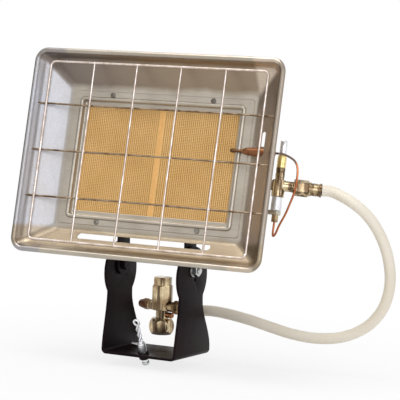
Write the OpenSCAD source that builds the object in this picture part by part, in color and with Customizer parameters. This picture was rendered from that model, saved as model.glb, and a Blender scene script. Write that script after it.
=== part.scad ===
// Mobile gas radiant heater: a tilting burner head in a sheet steel reflector,
// on a U bracket that clamps to a gas bottle, with its hose and bottle connector.
// The origin is the centre of the width of the bracket's underside, +Z is up
// and the head faces -Y.

/* [Reflector] */
// Width over the rolled rim
rim_w = 336; // [316:1:376]
// Height over the rolled rim
rim_h = 248; // [236:1:288]
// Outer corner radius of the rim
rim_r = 17; // [14:0.5:24]
// Diameter of the rolled bead of the rim
bead_d = 6.5; // [5:0.5:8]
// Thickness of the reflector sheet
pan_t = 1.2; // [0.8:0.1:1.6]
// How far the steep band next to the bead comes in
band_run = 9; // [7:0.5:11]
// Depth of the foot of the steep band
band_depth = 12; // [11:0.5:15]
// Width of the flat shelf beside the plaques
shelf_side = 24; // [22:0.5:28]
// Height of the flat shelf above and below the plaques
shelf_end = 23; // [21:0.5:28]
// Corner radius of the shelf
shelf_r = 9; // [6:0.5:12]
// Depth of the shelf behind the rim plane
shelf_depth = 29; // [27:0.5:34]
// How far the burner lies below the middle of the rim
burner_drop = 3; // [0:0.5:6]
// Length of the air slot in the lower wall
slot_l = 179; // [120:1:190]
// Height of the air slot
slot_h = 6.8; // [4:0.2:8]

/* [Guard] */
// Distance of the loop's side wires from the rim's outer edge
loop_side = 22; // [18:0.5:28]
// Distance of the loop's top and bottom wires from the rim's outer edge
loop_end = 16; // [14:0.5:22]
// Corner radius of the guard loop
loop_r = 6; // [4:0.5:10]
// Wire diameter of the loop
loop_d = 3; // [2.5:0.1:3.4]
// Wire diameter of the uprights and crossbars
bar_d = 2.5; // [2:0.1:3]
// Depth of the loop behind the rim plane
loop_depth = 5.5; // [5:0.1:6.5]
// Spacing of the uprights
upright_pitch = 59; // [50:1:62]
// Spacing of the crossbars
crossbar_pitch = 56; // [48:1:60]

/* [Burner] */
// Visible width of the two plaques together
fire_w = 204; // [190:1:212]
// Visible height of the plaques
fire_h = 128; // [118:1:136]
// Thickness of a ceramic plaque
plaque_t = 13; // [11:0.5:14]
// How much of each plaque edge the frame covers
plaque_lap = 3; // [2:0.5:4]
// Width of the joint bar between the plaques
joint_w = 6; // [4:0.5:8]
// Width of the flat flange of the burner frame
frame_flange = 13; // [10:0.5:16]
// Sheet thickness of the burner frame
frame_t = 1; // [0.8:0.1:1.4]
// Diameter of the raised ridge of the frame
ridge_d = 5; // [4:0.5:6]
// Depth of the plenum box behind the shelf
plenum_depth = 46; // [43:0.5:60]
// Wall of the plenum box
plenum_t = 1.2; // [0.8:0.1:1.6]
// Width of the flange of the plenum box
plenum_flange = 8; // [6:0.5:9]
// Outer diameter of the mixing tube
tube_d = 18; // [16:0.5:20]
// Wall of the mixing tube
tube_t = 1; // [0.8:0.1:1.4]

/* [Tilt] */
// Tilt of the head above level, in degrees
tilt = 11; // [0:1:20]
// Distance of the rim centre in front of the origin
setback = 46; // [42:1:52]
// Height of the rim centre
head_height = 238; // [234:1:260]
// Height of the tilt pivots
pivot_z = 105; // [100:0.5:106]
// Distance of the pivots in front of the origin
pivot_front = 6; // [4:0.5:8]
// Diameter of the pivot bolts
pivot_d = 8; // [6:0.5:8]
// Width across flats of the pivot nuts
pivot_nut_af = 13; // [12:0.5:15]

/* [Bracket] */
// Width over the two arms
bracket_w = 100; // [96:1:112]
// Distance of the front edge from the origin
base_front = 42; // [40:0.5:48]
// Distance of the back edge from the origin
base_back = 44; // [40:0.5:50]
// Steel thickness of the bracket
bracket_t = 3; // [2.5:0.1:4]
// Inner bend radius of the bracket
bend_r = 3; // [2:0.5:5]
// Radius of the round head of each arm
arm_head_r = 36; // [34:0.5:38]
// Height of the middle of the round head
arm_head_z = 97; // [94:0.5:100]
// Front edge of the waist of an arm
waist_front = 33; // [30:0.5:36]
// Back edge of the waist of an arm
waist_back = 22; // [20:0.5:30]

/* [Clamp] */
// Diameter of the clamp screw
screw_d = 8; // [6:0.5:8]
// Forward lean of the clamp screw, in degrees
clamp_lean = 27; // [20:1:30]
// Distance of the clamp screw in front of the origin
clamp_front = 27; // [24:0.5:30]
// Diameter of the barrel of the clamp screw
barrel_d = 9.6; // [9:0.1:11]
// Length of the barrel
barrel_l = 12; // [10:0.5:14]
// Length of the twisted handle with its eye
handle_l = 34; // [30:0.5:38]

/* [Gas valve] */
// Distance of the valve's axis from the gas jet's holder
valve_reach = 14.5; // [12:0.5:20]
// Diameter of the valve body
valve_d = 15; // [14:0.5:16]
// Length of the valve body
valve_h = 20; // [18:0.5:24]
// Diameter of the push button
button_d = 8.2; // [7.6:0.1:8.4]
// Length of the push button
button_l = 15.6; // [12:0.2:18]
// Travel of the push button
button_travel = 5; // [3:0.5:5]
// Width across flats of the inlet nut
inlet_af = 17; // [15:0.5:19]
// Angle of the gas inlet towards the back, in degrees
inlet_turn = 25; // [15:1:30]

/* [Thermocouple] */
// Diameter of the thermocouple body
probe_d = 10.6; // [9:0.2:11]
// Diameter of the copper lead
lead_d = 2.5; // [2:0.1:3]

/* [Gas connection] */
// Outer diameter of the hose
hose_d = 13; // [12:0.5:14]
// Distance of the connector to the left of the origin
conn_left = 37; // [30:1:44]
// Distance of the connector behind the origin
conn_behind = 80; // [76:1:90]
// Turn of the connector's hose branch towards the front, in degrees
conn_turn = 8; // [0:1:20]
// Width across flats of the connector body
conn_af = 24; // [22:0.5:26]
// Width across flats of the coupling nut
coupling_af = 27; // [25.5:0.5:30]
// Height of the coupling nut
coupling_h = 20; // [18:0.5:24]
// Diameter of the thread in the coupling nut
thread_d = 20.6; // [18:0.2:21]

/* [Hidden] */

$fn = 48;
hull_fn = 32;
// How far cuts run past the faces that they open
overrun = 1;
// Thickness of the thin plates that a hull joins
slice_t = 0.02;
// Radial clearance of a running fit
run_gap = 0.08;
// Clearance between parts that move past each other
part_gap = 0.3;
// Gap between the end of a cord and the face that it meets
seat_gap = 0.02;
// Clearance of a part that drops into an opening
drop_gap = 0.3;

// Colours
steel_c = "#B9B6AE";
wire_c = "#E8DFD0";
plaque_c = "#D9A85C";
joint_c = "#EDB468";
fibre_c = "#E9E6DE";
brass_c = "#C6A65A";
bronze_c = "#7A5230";
copper_c = "#B8683A";
black_c = "#231B1E";
zinc_c = "#C9CCCE";
chrome_c = "#DDE0E4";
rubber_c = "#2A2A2C";
hose_c = "#EFE6D8";
clip_c = "#8C6A4A";

// Reflector
shelf_w = fire_w + 2 * shelf_side;
shelf_h = fire_h + 2 * shelf_end;
bead_w = rim_w - bead_d;
bead_h = rim_h - bead_d;
bead_r = rim_r - bead_d / 2;
band_w = bead_w - 2 * band_run;
band_h = bead_h - 2 * band_run;
band_r = bead_r;
shelf_back = -shelf_depth - pan_t;
slot_u = 1.5;
slot_to_shelf = 8.2;
slot_w = -burner_drop - shelf_h / 2 - slot_to_shelf;
side_slot_l = 20;
side_slot_h = 6;
side_slot_to_shelf = 17.5;
side_slot_u = shelf_w / 2 + side_slot_to_shelf;
side_slot_w = 30;

// Guard
upright_count = 4;
crossbar_count = 3;
loop_w = rim_w - 2 * loop_side;
loop_h = rim_h - 2 * loop_end;
bar_depth = loop_depth + loop_d / 2 + bar_d / 2;
upright_depth = loop_depth + loop_d / 2 - bar_d / 2;
guard_shift = 2.6;
guard_rise = 0.7;
// Crossbar ends reach this far past the wall of the steep band
bar_tail = 1.5;
bar_hole_gap = 0.2;
bar_end_u = bead_w / 2 - band_run * (bar_depth - bead_d / 2) / (band_depth - bead_d / 2) + bar_tail;

// Burner frame
lip_depth = 5;
plaque_n = -shelf_depth - lip_depth;
neck_room = 3.5;
neck_w = fire_w + 2 * (plaque_lap + neck_room);
neck_h = fire_h + 2 * (plaque_lap + neck_room);
neck_t = 1;
frame_trim = 5;
frame_w = neck_w + 2 * frame_flange;
frame_h = neck_h + 2 * frame_flange - frame_trim;
frame_r = 4;
fire_r = 2;
ridge_out = 1;
ridge_w = neck_w + 2 * ridge_out;
ridge_h = neck_h + 2 * ridge_out;
frame_screw_u = fire_w / 3;
frame_screw_d = 3.6;
frame_screw_head_d = 6.4;
frame_screw_head_h = 1.6;
frame_screw_l = 5;
frame_screw_w = (ridge_h + ridge_d + frame_screw_head_d) / 2 + drop_gap;

// Plaques
plaque_w = (fire_w + 2 * plaque_lap - joint_w) / 2;
plaque_h = fire_h + 2 * plaque_lap;

// Plenum box
plenum_room = 0.8;
plenum_w = neck_w + 2 * (plenum_room + plenum_t);
plenum_h = neck_h + 2 * (plenum_room + plenum_t);
plenum_r = 6;
plenum_in_w = plenum_w - 2 * plenum_t;
plenum_in_h = plenum_h - 2 * plenum_t;
plenum_floor = shelf_back - plenum_depth;
ledge_n = plaque_n - plaque_t;
ledge_run = 10;
baffle_room = 16;
baffle_w = plenum_in_w - 2 * baffle_room;
baffle_h = plenum_in_h - 2 * baffle_room;
baffle_t = 1;
baffle_gap = 2.5;
baffle_n = ledge_n - plenum_t - baffle_gap;
baffle_leg_w = 10;

// Mixing tube and injector, on the same line as the valve outlet
tube_wall = 5.2;
valve_n = plenum_floor + tube_wall + tube_d / 2;
valve_w = -15.5;
tube_reach = 19;
tube_end = plenum_w / 2 + tube_reach;
tube_start = -plenum_w / 4;
air_slot_l = 8;
air_slot_h = 9;
holder_plug_l = 8;
holder_head_l = 5;
holder_af = 17;
jet_d = 5;
jet_l = 11;
jet_bore_d = 1.5;

// Valve, measured along the side of the head from its middle
valve_top = -9;
valve_bottom = valve_top - valve_h;
bonnet_d = 10.8;
bonnet_l = 14;
collar_d = 10.6;
collar_l = 14.4;
bonnet_top = valve_top + bonnet_l;
collar_top = bonnet_top + collar_l;
collar_floor = 3;
collar_shoulder = bonnet_top + collar_floor;
button_gap = 2.4;
button_bottom = collar_top + button_gap;
button_tip_r = 1.2;
rod_d = 4.8;
cavity_d = 11.2;
cavity_roof = 4;
cavity_top = valve_top - cavity_roof;
disc_d = 10;
disc_t = 2;
disc_room = 4;
disc_top = cavity_top - disc_room;
spring_in_d = 5.8;
spring_out_d = 7.6;
housing_d = 12.4;
housing_l = 16;
housing_bottom = valve_bottom - housing_l;
magnet_d = 9.4;
magnet_room = 1.5;
magnet_top = disc_top - disc_t - button_travel - magnet_room;
magnet_tail_d = 6;
clip_w = 14.5;
clip_depth = 11;
clip_t = 5;
clip_shift = -3;
clip_bottom = housing_bottom - clip_t;
lead_nut_af = 7.5;
lead_nut_l = 8.5;
lead_exit = clip_bottom - lead_nut_l;
branch_d = 12.6;
outlet_end = tube_end + holder_head_l;
valve_u = outlet_end + valve_reach;
branch_bore_d = 6;

// Gas inlet, measured along the inlet from the valve axis
inlet_start = 17;
inlet_nut_l = 18;
inlet_end = inlet_start + inlet_nut_l;
ferrule_l = 15;
ferrule_d = 15.2;
ferrule_ring_d = 16.4;
ferrule_ring_l = 2.5;
nipple_d = 8;
nipple_bore_d = 5;
hose_start = inlet_end + ferrule_l;

// Thermocouple, measured from the middle of the head
probe_w = 16.5;
probe_n = -22;
probe_tip_in = 1;
probe_tip_u = fire_w / 2 - probe_tip_in;
probe_tip_l = 8;
probe_tip_d = 5;
probe_collar_l = 8.5;
probe_collar_d = 3.6;
probe_body_u = probe_tip_u + probe_tip_l + probe_collar_l;
probe_body_l = 33;
probe_tail_d = 7;
probe_tail_l = 8;
probe_hole_gap = 0.7;
holder_u = probe_body_u + probe_body_l;
holder_t = 1.5;
holder_w = 16;
probe_nut_af = 10;
probe_nut_l = 4;

// Tilt lugs
lug_t = 2.5;
lug_w = 27;
lug_gap = 0.4;
lug_out = bracket_w / 2 - bracket_t - lug_gap;
lug_foot = 20;
lug_front_n = -42;
pivot_dy = setback - pivot_front;
pivot_dz = pivot_z - head_height;
pivot_n = -pivot_dy * cos(tilt) + pivot_dz * sin(tilt);
pivot_w = pivot_dy * sin(tilt) + pivot_dz * cos(tilt);
plenum_low = -burner_drop - plenum_h / 2;
bolt_head_h = 5;
washer_t = 1.6;
washer_d = 16;
pivot_nut_h = 6.5;
bolt_tail = 2;

// Bracket
arm_outer = bracket_w / 2;
arm_inner = arm_outer - bracket_t;
flare_top = 68;
flare_foot = 8;
index_hole_d = 4.5;
index_hole_drop = 12;
outline_steps = 12;
head_steps = 40;
waist_half = (waist_front + waist_back) / 2;
arm_head_y = (waist_back - waist_front) / 2;
waist_z = arm_head_z - sqrt(arm_head_r * arm_head_r - waist_half * waist_half);

// Clamp
boss_d = 13;
boss_l = 8;
barrel_start = boss_l / 2 + part_gap;
barrel_end = barrel_start + barrel_l;
bar_cross_d = 4;
bar_cross_l = 15;
bar_cross_turn = 100;
bar_cross_drop = 2.5;
bar_cross_z = barrel_end - bar_cross_drop;
stud_tip = -11.5;
neck_tip_d = 5.8;
neck_tip_l = 3;
cap_d = 9;
cap_l = 4.5;
cap_floor = 1.5;
strand_d = 2.9;
strand_run = 1.3;
strand_turns = 1.5;
strand_steps = 20;
strand_sides = 8;
handle_collar_l = 3;
eye_ring_d = 7;
eye_wire_d = 2.6;

// Connector
conn_corner = conn_af / cos(30);
coupling_z = 11;
coupling_top = coupling_z + coupling_h;
coupling_wall = 3.6;
// Turn of the coupling nut at rest, in degrees
coupling_spin = 36;
thread_l = 10.5;
relief_run = 0.4;
conn_flange_d = 19;
conn_flange_t = 3;
conn_neck_d = 15;
conn_neck_l = 10;
conn_body_z = coupling_top + conn_neck_l;
conn_body_h = 31;
conn_top_af = 21;
conn_top_h = 10;
conn_branch_rise = 5;
conn_branch_z = conn_body_z + conn_branch_rise;
conn_branch_d = 12.6;
conn_hose_reach = 19;
conn_cap_reach = 20;
cap_reach = 34;
cap_tip_d = 9;
cap_af = 12;
conn_nut_af = 15;
conn_nut_l = 7;
conn_ferrule_l = 14;
seal_t = 2;
seal_hole_d = 8;
conn_bore_d = 6;
plug_d = 7;
plug_l = 9;
plug_rise = 4.5;
plug_z = coupling_top + plug_rise;

// A point of the head's own directions, in the frame of the whole heater
function head_point(u, w, n) = [
    u,
    -setback + w * sin(tilt) - n * cos(tilt),
    head_height + w * cos(tilt) + n * sin(tilt)
];
// A point on the gas inlet's axis
function inlet_point(l) =
    head_point(valve_u + l * cos(inlet_turn), valve_w, valve_n - l * sin(inlet_turn));
// A point on the connector's hose branch
function branch_point(l) =
    [-conn_left + l * cos(conn_turn), conn_behind - l * sin(conn_turn), conn_branch_z];

// Middle line of the hose, from the connector round to the gas inlet
conn_hose_end = conn_hose_reach + conn_nut_l + conn_ferrule_l;
hose_route = concat(
    [branch_point(conn_hose_end + seat_gap), branch_point(conn_hose_end + hose_d)],
    [
        [38, 68, 48], [64, 64, 47], [94, 62, 43], [122, 63, 37],
        [151, 66, 31], [182, 70, 29], [213, 74, 34], [241, 76, 49], [260, 75, 72],
        [268, 73, 100], [267, 68, 129], [260, 61, 155], [248, 51, 178], [231, 40, 195]
    ],
    [inlet_point(hose_start + hose_d), inlet_point(hose_start + seat_gap)]
);

// Middle line of the thermocouple lead, in the head's own directions: down out of
// its nut, round in a tight turn, up past the valve and into the probe's tail
probe_end = holder_u + probe_tail_l;
lead_start = clip_bottom - lead_nut_l / 2;
lead_rise = [
    [0.5, -13.5, 1], [3, -16.5, 4], [7, -13.5, 7], [12, -3.5, 10], [19, 8.5, 13],
    [24, 20.5, 15], [28, 32.5, 16], [30, 44.5, 17], [30.5, 56.5, 18], [29.5, 64.5, 19],
    [26, 70.5, 21]
];
lead_turn = [[11.5, -1, -13], [8.5, 0, -6], [5.5, 0, -1]];
lead_route = concat(
    [[valve_u, lead_start, valve_n], [valve_u, lead_exit - lead_d, valve_n]],
    [for (step = lead_rise) [valve_u, lead_exit, valve_n] + step],
    [for (step = lead_turn) [probe_end, probe_w, probe_n] + step],
    [[probe_end + lead_d, probe_w, probe_n], [probe_end, probe_w, probe_n]]
);
lead_sides = 8;
hose_sides = 12;

// Frames of reference

// The head's own directions: x across, y up the face, z out of the face
module in_head() {
    translate([0, -setback, head_height])
        rotate([90 - tilt, 0, 0])
            children();
}

// The burner lies a little below the middle of the rim
module in_burner() {
    in_head() translate([0, -burner_drop, 0]) children();
}

// The valve's axis, with z up the side of the head
module in_valve() {
    in_head() translate([valve_u, 0, valve_n]) rotate([-90, 0, 0]) children();
}

// The gas inlet's axis, with z away from the valve
module in_inlet() {
    in_valve()
        translate([0, 0, valve_w])
            rotate([0, 0, inlet_turn])
                rotate([0, 90, 0])
                    children();
}

// The mixing tube's axis, with z to the right from the middle of the head
module in_tube() {
    in_head() translate([0, valve_w, valve_n]) rotate([0, 90, 0]) children();
}

// The thermocouple's axis, with z to the right from the middle of the head
module in_probe() {
    in_head() translate([0, probe_w, probe_n]) rotate([0, 90, 0]) children();
}

// The clamp screw's axis, with z up the screw from the middle of the base plate
module in_clamp() {
    translate([0, -clamp_front, bracket_t / 2]) rotate([clamp_lean, 0, 0]) children();
}

// The connector's axis, with x towards its hose branch
module in_connector() {
    translate([-conn_left, conn_behind, 0]) rotate([0, 0, -conn_turn]) children();
}

// A pivot's axis on one side, with z pointing outwards
module at_pivot(side) {
    translate([0, -pivot_front, pivot_z]) rotate([0, side * 90, 0]) children();
}

// Shared shapes

module rounded_rect(w, h, r) {
    square([w - 2 * r, h], center = true);
    square([w, h - 2 * r], center = true);
    for (sx = [-1, 1], sy = [-1, 1])
        translate([sx * (w / 2 - r), sy * (h / 2 - r)])
            circle(r = r);
}

// Flat plate with round corners between two depths
module plate(w, h, r, low, high) {
    translate([0, 0, low]) linear_extrude(high - low) rounded_rect(w, h, r);
}

// Flat ring with round corners between two depths
module ring_plate(w, h, r, in_w, in_h, in_r, low, high) {
    difference() {
        plate(w, h, r, low, high);
        plate(in_w, in_h, in_r, low - overrun, high + overrun);
    }
}

// Wire bent to a rectangle with round corners
module wire_ring(w, h, r, d) {
    for (side = [-1, 1]) {
        translate([side * w / 2, 0, 0])
            rotate([90, 0, 0])
                cylinder(d = d, h = h - 2 * r, center = true);
        translate([0, side * h / 2, 0])
            rotate([0, 90, 0])
                cylinder(d = d, h = w - 2 * r, center = true);
    }
    for (i = [0:3]) {
        sx = (i == 0 || i == 3) ? 1 : -1;
        sy = (i < 2) ? 1 : -1;
        translate([sx * (w / 2 - r), sy * (h / 2 - r), 0])
            rotate([0, 0, 90 * i])
                rotate_extrude(angle = 90)
                    translate([r, 0])
                        circle(d = d);
    }
}

// Straight slot with round ends, cut through between two depths
module slot_cut(l, h, low, high) {
    translate([0, 0, low])
        linear_extrude(high - low)
            rounded_rect(l, h, h / 2 - slice_t);
}

// Hexagon bar of a given width across flats
module hex_bar(af, h) {
    cylinder(d = af / cos(30), h = h, $fn = 6);
}

// Round tube swept along a list of points, its rings square to the line
function unit(v) = v / norm(v);
function tangent(p, i) =
    unit(p[min(i + 1, len(p) - 1)] - p[max(i - 1, 0)]);
function sweep_ring(p, i, r, sides, side_dir) =
    let (t = tangent(p, i), a = unit(cross(side_dir, t)), b = cross(t, a))
    [for (k = [0:sides - 1])
        p[i] + r * cos(360 * k / sides) * a + r * sin(360 * k / sides) * b];

module sweep(p, r, sides, side_dir) {
    rings = len(p);
    points = [for (i = [0:rings - 1]) each sweep_ring(p, i, r, sides, side_dir)];
    walls = [for (i = [0:rings - 2], k = [0:sides - 1])
        let (next = (k + 1) % sides, low = i * sides, high = low + sides)
            each [[low + k, high + next, low + next], [low + k, high + k, high + next]]];
    first = [for (k = [0:sides - 1]) k];
    last = [for (k = [0:sides - 1]) rings * sides - 1 - k];
    polyhedron(points, concat([first], walls, [last]), convexity = 10);
}

// Reflector

// One layer of the reflector's sloped walls, from the bead to the shelf
module pan_wall(rise) {
    translate([0, 0, rise]) {
        hull($fn = hull_fn) {
            plate(bead_w, bead_h, bead_r, -bead_d / 2 - slice_t, -bead_d / 2);
            plate(band_w, band_h, band_r, -band_depth - slice_t, -band_depth);
        }
        hull($fn = hull_fn) {
            plate(band_w, band_h, band_r, -band_depth - slice_t, -band_depth);
            translate([0, -burner_drop, 0])
                plate(shelf_w, shelf_h, shelf_r, shelf_back, shelf_back + slice_t);
        }
    }
}

module reflector_pan() {
    color(steel_c)
    in_head() difference() {
        union() {
            difference() {
                pan_wall(0);
                pan_wall(pan_t);
                plate(bead_w, bead_h, bead_r, -bead_d / 2 - pan_t / 2, overrun);
            }
            translate([0, 0, -bead_d / 2]) wire_ring(bead_w, bead_h, bead_r, bead_d);
        }
        translate([0, -burner_drop, 0])
            plate(neck_w + 2 * drop_gap, neck_h + 2 * drop_gap, frame_r,
                shelf_back - overrun, -shelf_depth + overrun);
        translate([slot_u, slot_w, 0])
            slot_cut(slot_l, slot_h, shelf_back - overrun, -band_depth + overrun);
        translate([side_slot_u, side_slot_w, 0])
            rotate([0, 0, 90])
                slot_cut(side_slot_l, side_slot_h, shelf_back, -band_depth + overrun);
        translate([shelf_w / 2, probe_w, probe_n])
            rotate([0, 90, 0])
                cylinder(d = probe_d + 2 * probe_hole_gap, h = band_w / 2 - shelf_w / 2 + overrun);
        for (i = [0:crossbar_count - 1])
            translate([0, crossbar_w(i), -bar_depth])
                rotate([0, 90, 0])
                    cylinder(d = bar_d + 2 * bar_hole_gap, h = rim_w, center = true);
        frame_screw_holes();
    }
}

// Clearance holes for the frame screws, in the head's directions
module frame_screw_holes() {
    translate([0, -burner_drop, shelf_back - plenum_t - overrun])
        for (su = [-1, 1], sw = [-1, 1])
            translate([su * frame_screw_u, sw * frame_screw_w, 0])
                cylinder(d = frame_screw_d, h = pan_t + plenum_t + frame_t + 2 * overrun);
}

// Guard

function crossbar_w(i) = guard_rise + crossbar_pitch * ((crossbar_count - 1) / 2 - i);
function upright_u(i) = guard_shift + upright_pitch * (i - (upright_count - 1) / 2);

module guard_loop() {
    color(wire_c)
    in_head() translate([0, 0, -loop_depth]) wire_ring(loop_w, loop_h, loop_r, loop_d);
}

module guard_upright(i) {
    color(wire_c)
    in_head()
        translate([upright_u(i), 0, -upright_depth])
            rotate([90, 0, 0])
                cylinder(d = bar_d, h = loop_h - loop_d, center = true);
}

module guard_crossbar(i) {
    color(wire_c)
    in_head()
        translate([0, crossbar_w(i), -bar_depth])
            rotate([0, 90, 0])
                cylinder(d = bar_d, h = 2 * bar_end_u, center = true);
}

// Burner

module burner_frame() {
    color(steel_c)
    in_burner() difference() {
        union() {
            ring_plate(frame_w, frame_h, frame_r, neck_w - 2 * neck_t, neck_h - 2 * neck_t,
                fire_r, -shelf_depth, -shelf_depth + frame_t);
            ring_plate(neck_w, neck_h, frame_r, neck_w - 2 * neck_t, neck_h - 2 * neck_t,
                fire_r, plaque_n, -shelf_depth + frame_t);
            ring_plate(neck_w, neck_h, frame_r, fire_w, fire_h, fire_r,
                plaque_n, plaque_n + frame_t);
            translate([0, 0, -shelf_depth + frame_t])
                wire_ring(ridge_w, ridge_h, ridge_d, ridge_d);
        }
        translate([0, burner_drop, 0]) frame_screw_holes();
        ring_plate(ridge_w + 2 * ridge_d, ridge_h + 2 * ridge_d, frame_r,
            neck_w, neck_h, frame_r, -shelf_depth - ridge_d, -shelf_depth);
    }
}

module frame_screws() {
    color(zinc_c)
    in_burner()
        for (su = [-1, 1], sw = [-1, 1])
            translate([su * frame_screw_u, sw * frame_screw_w, -shelf_depth + frame_t]) {
                cylinder(d1 = frame_screw_head_d, d2 = frame_screw_d, h = frame_screw_head_h);
                translate([0, 0, -frame_screw_l])
                    cylinder(d = frame_screw_d, h = frame_screw_l);
            }
}

module plaque(side) {
    color(plaque_c)
    in_burner()
        translate([side * (joint_w + plaque_w) / 2, 0, plaque_n - plaque_t / 2])
            cube([plaque_w, plaque_h, plaque_t], center = true);
}

module plaque_joint() {
    color(joint_c)
    in_burner()
        translate([0, 0, plaque_n - plaque_t / 2])
            cube([joint_w, plaque_h, plaque_t], center = true);
}

module plaque_gasket() {
    color(fibre_c)
    in_burner() difference() {
        plate(plenum_in_w, plenum_in_h, plenum_r - plenum_t, ledge_n, plaque_n);
        translate([0, 0, plaque_n - plaque_t / 2])
            cube([2 * plaque_w + joint_w, plaque_h, plaque_t + 2 * overrun], center = true);
    }
}

module plenum_box() {
    color(steel_c)
    in_burner() difference() {
        union() {
            plate(plenum_w, plenum_h, plenum_r, plenum_floor, shelf_back);
            plate(plenum_w + 2 * plenum_flange, plenum_h + 2 * plenum_flange, plenum_r,
                shelf_back - plenum_t, shelf_back);
        }
        plate(plenum_in_w, plenum_in_h, plenum_r - plenum_t, ledge_n, shelf_back + overrun);
        plate(plenum_in_w - 2 * ledge_run, plenum_in_h - 2 * ledge_run,
            plenum_r - plenum_t, ledge_n - overrun - plenum_t, ledge_n + overrun);
        plate(plenum_in_w, plenum_in_h, plenum_r - plenum_t,
            plenum_floor + plenum_t, ledge_n - plenum_t);
        translate([0, valve_w + burner_drop, valve_n])
            rotate([0, 90, 0])
                cylinder(d = tube_d, h = plenum_w);
        translate([0, burner_drop, 0]) frame_screw_holes();
    }
}

module baffle_plate() {
    leg_l = baffle_n - baffle_t - plenum_floor - plenum_t;
    color(steel_c)
    in_burner() {
        plate(baffle_w, baffle_h, plenum_r, baffle_n - baffle_t, baffle_n);
        for (su = [-1, 1], sw = [-1, 1])
            translate([su * (baffle_w - baffle_leg_w) / 2 - baffle_leg_w / 2,
                sw * (baffle_h - baffle_t) / 2 - baffle_t / 2,
                baffle_n - baffle_t - leg_l])
                cube([baffle_leg_w, baffle_t, leg_l + baffle_t]);
    }
}

module mixing_tube() {
    color(steel_c)
    in_tube() difference() {
        translate([0, 0, tube_start]) cylinder(d = tube_d, h = tube_end - tube_start);
        translate([0, 0, tube_start - overrun])
            cylinder(d = tube_d - 2 * tube_t, h = tube_end - tube_start + 2 * overrun);
        translate([0, 0, plenum_w / 2 + air_slot_l])
            cube([tube_d + overrun, air_slot_h, air_slot_l], center = true);
    }
}

module injector_holder() {
    color(brass_c)
    in_tube() difference() {
        union() {
            translate([0, 0, tube_end - holder_plug_l])
                cylinder(d = tube_d - 2 * tube_t, h = holder_plug_l);
            translate([0, 0, tube_end]) hex_bar(holder_af, holder_head_l);
        }
        translate([0, 0, tube_end - holder_plug_l - overrun])
            cylinder(d = jet_d, h = holder_plug_l + holder_head_l + 2 * overrun);
    }
}

module injector_jet() {
    color(brass_c)
    in_tube() translate([0, 0, outlet_end - jet_l]) difference() {
        cylinder(d = jet_d, h = jet_l);
        translate([0, 0, -overrun]) cylinder(d = jet_bore_d, h = jet_l + 2 * overrun);
    }
}

// Gas valve

module valve_body() {
    color(brass_c)
    difference() {
        union() {
            in_valve() translate([0, 0, valve_bottom]) cylinder(d = valve_d, h = valve_h);
            in_inlet() cylinder(d = branch_d, h = inlet_start);
            in_tube()
                translate([0, 0, outlet_end])
                    cylinder(d = branch_d, h = valve_u - outlet_end);
        }
        in_valve() {
            translate([0, 0, valve_bottom - overrun])
                cylinder(d = cavity_d, h = cavity_top - valve_bottom + overrun);
            translate([0, 0, cavity_top - overrun])
                cylinder(d = rod_d + 2 * part_gap, h = valve_top - cavity_top + 2 * overrun);
        }
        in_inlet() cylinder(d = branch_bore_d, h = inlet_start + overrun);
        in_tube()
            translate([0, 0, outlet_end - overrun])
                cylinder(d = jet_bore_d, h = valve_u - outlet_end);
    }
}

// Sleeve round the valve's axis, with a round hole of its own diameter
module valve_sleeve(d, hole_d, low, high) {
    in_valve() difference() {
        translate([0, 0, low]) cylinder(d = d, h = high - low);
        translate([0, 0, low - overrun]) cylinder(d = hole_d, h = high - low + 2 * overrun);
    }
}

module valve_bonnet() {
    color(brass_c) valve_sleeve(bonnet_d, rod_d + 2 * part_gap, valve_top, bonnet_top);
}

module valve_collar() {
    color(brass_c)
    in_valve() difference() {
        translate([0, 0, bonnet_top]) cylinder(d = collar_d, h = collar_l);
        translate([0, 0, collar_shoulder])
            cylinder(d = button_d + 2 * part_gap, h = collar_l + overrun);
        translate([0, 0, bonnet_top - overrun])
            cylinder(d = rod_d + 2 * run_gap, h = collar_l);
    }
}

module valve_spring() {
    color(zinc_c)
        valve_sleeve(spring_out_d, spring_in_d, collar_shoulder, button_bottom);
}

module valve_button() {
    color(chrome_c)
    in_valve() {
        translate([0, 0, button_bottom])
            cylinder(d = button_d, h = button_l - button_tip_r);
        translate([0, 0, button_bottom + button_l - button_tip_r])
            cylinder(d1 = button_d, d2 = button_d - 2 * button_tip_r, h = button_tip_r);
        translate([0, 0, disc_top])
            cylinder(d = rod_d, h = button_bottom - disc_top);
    }
}

module valve_disc() {
    color(rubber_c)
    in_valve() translate([0, 0, disc_top - disc_t]) cylinder(d = disc_d, h = disc_t);
}

module magnet_housing() {
    color(zinc_c) valve_sleeve(housing_d, magnet_d, housing_bottom, valve_bottom);
}

module magnet_unit() {
    color(zinc_c)
    in_valve() {
        translate([0, 0, housing_bottom])
            cylinder(d = magnet_d, h = magnet_top - housing_bottom);
        translate([0, 0, clip_bottom])
            cylinder(d = magnet_tail_d, h = housing_bottom - clip_bottom);
    }
}

module valve_clip() {
    color(clip_c)
    in_valve() difference() {
        translate([clip_shift, 0, clip_bottom + clip_t / 2])
            cube([clip_w, clip_depth, clip_t], center = true);
        translate([0, 0, clip_bottom - overrun])
            cylinder(d = magnet_tail_d, h = clip_t + 2 * overrun);
    }
}

module lead_nut() {
    color(brass_c)
    in_valve() difference() {
        translate([0, 0, lead_exit]) hex_bar(lead_nut_af, lead_nut_l);
        translate([0, 0, lead_exit - overrun])
            cylinder(d = lead_d + 2 * run_gap, h = lead_nut_l / 2 + overrun);
    }
}

// Gas inlet

module inlet_nut() {
    color(brass_c)
    in_inlet() translate([0, 0, inlet_start]) difference() {
        hex_bar(inlet_af, inlet_nut_l);
        translate([0, 0, -overrun]) cylinder(d = nipple_d, h = inlet_nut_l + 2 * overrun);
    }
}

module nipple(l) {
    color(brass_c) difference() {
        cylinder(d = nipple_d, h = l);
        translate([0, 0, -overrun]) cylinder(d = nipple_bore_d, h = l + 2 * overrun);
    }
}

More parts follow.
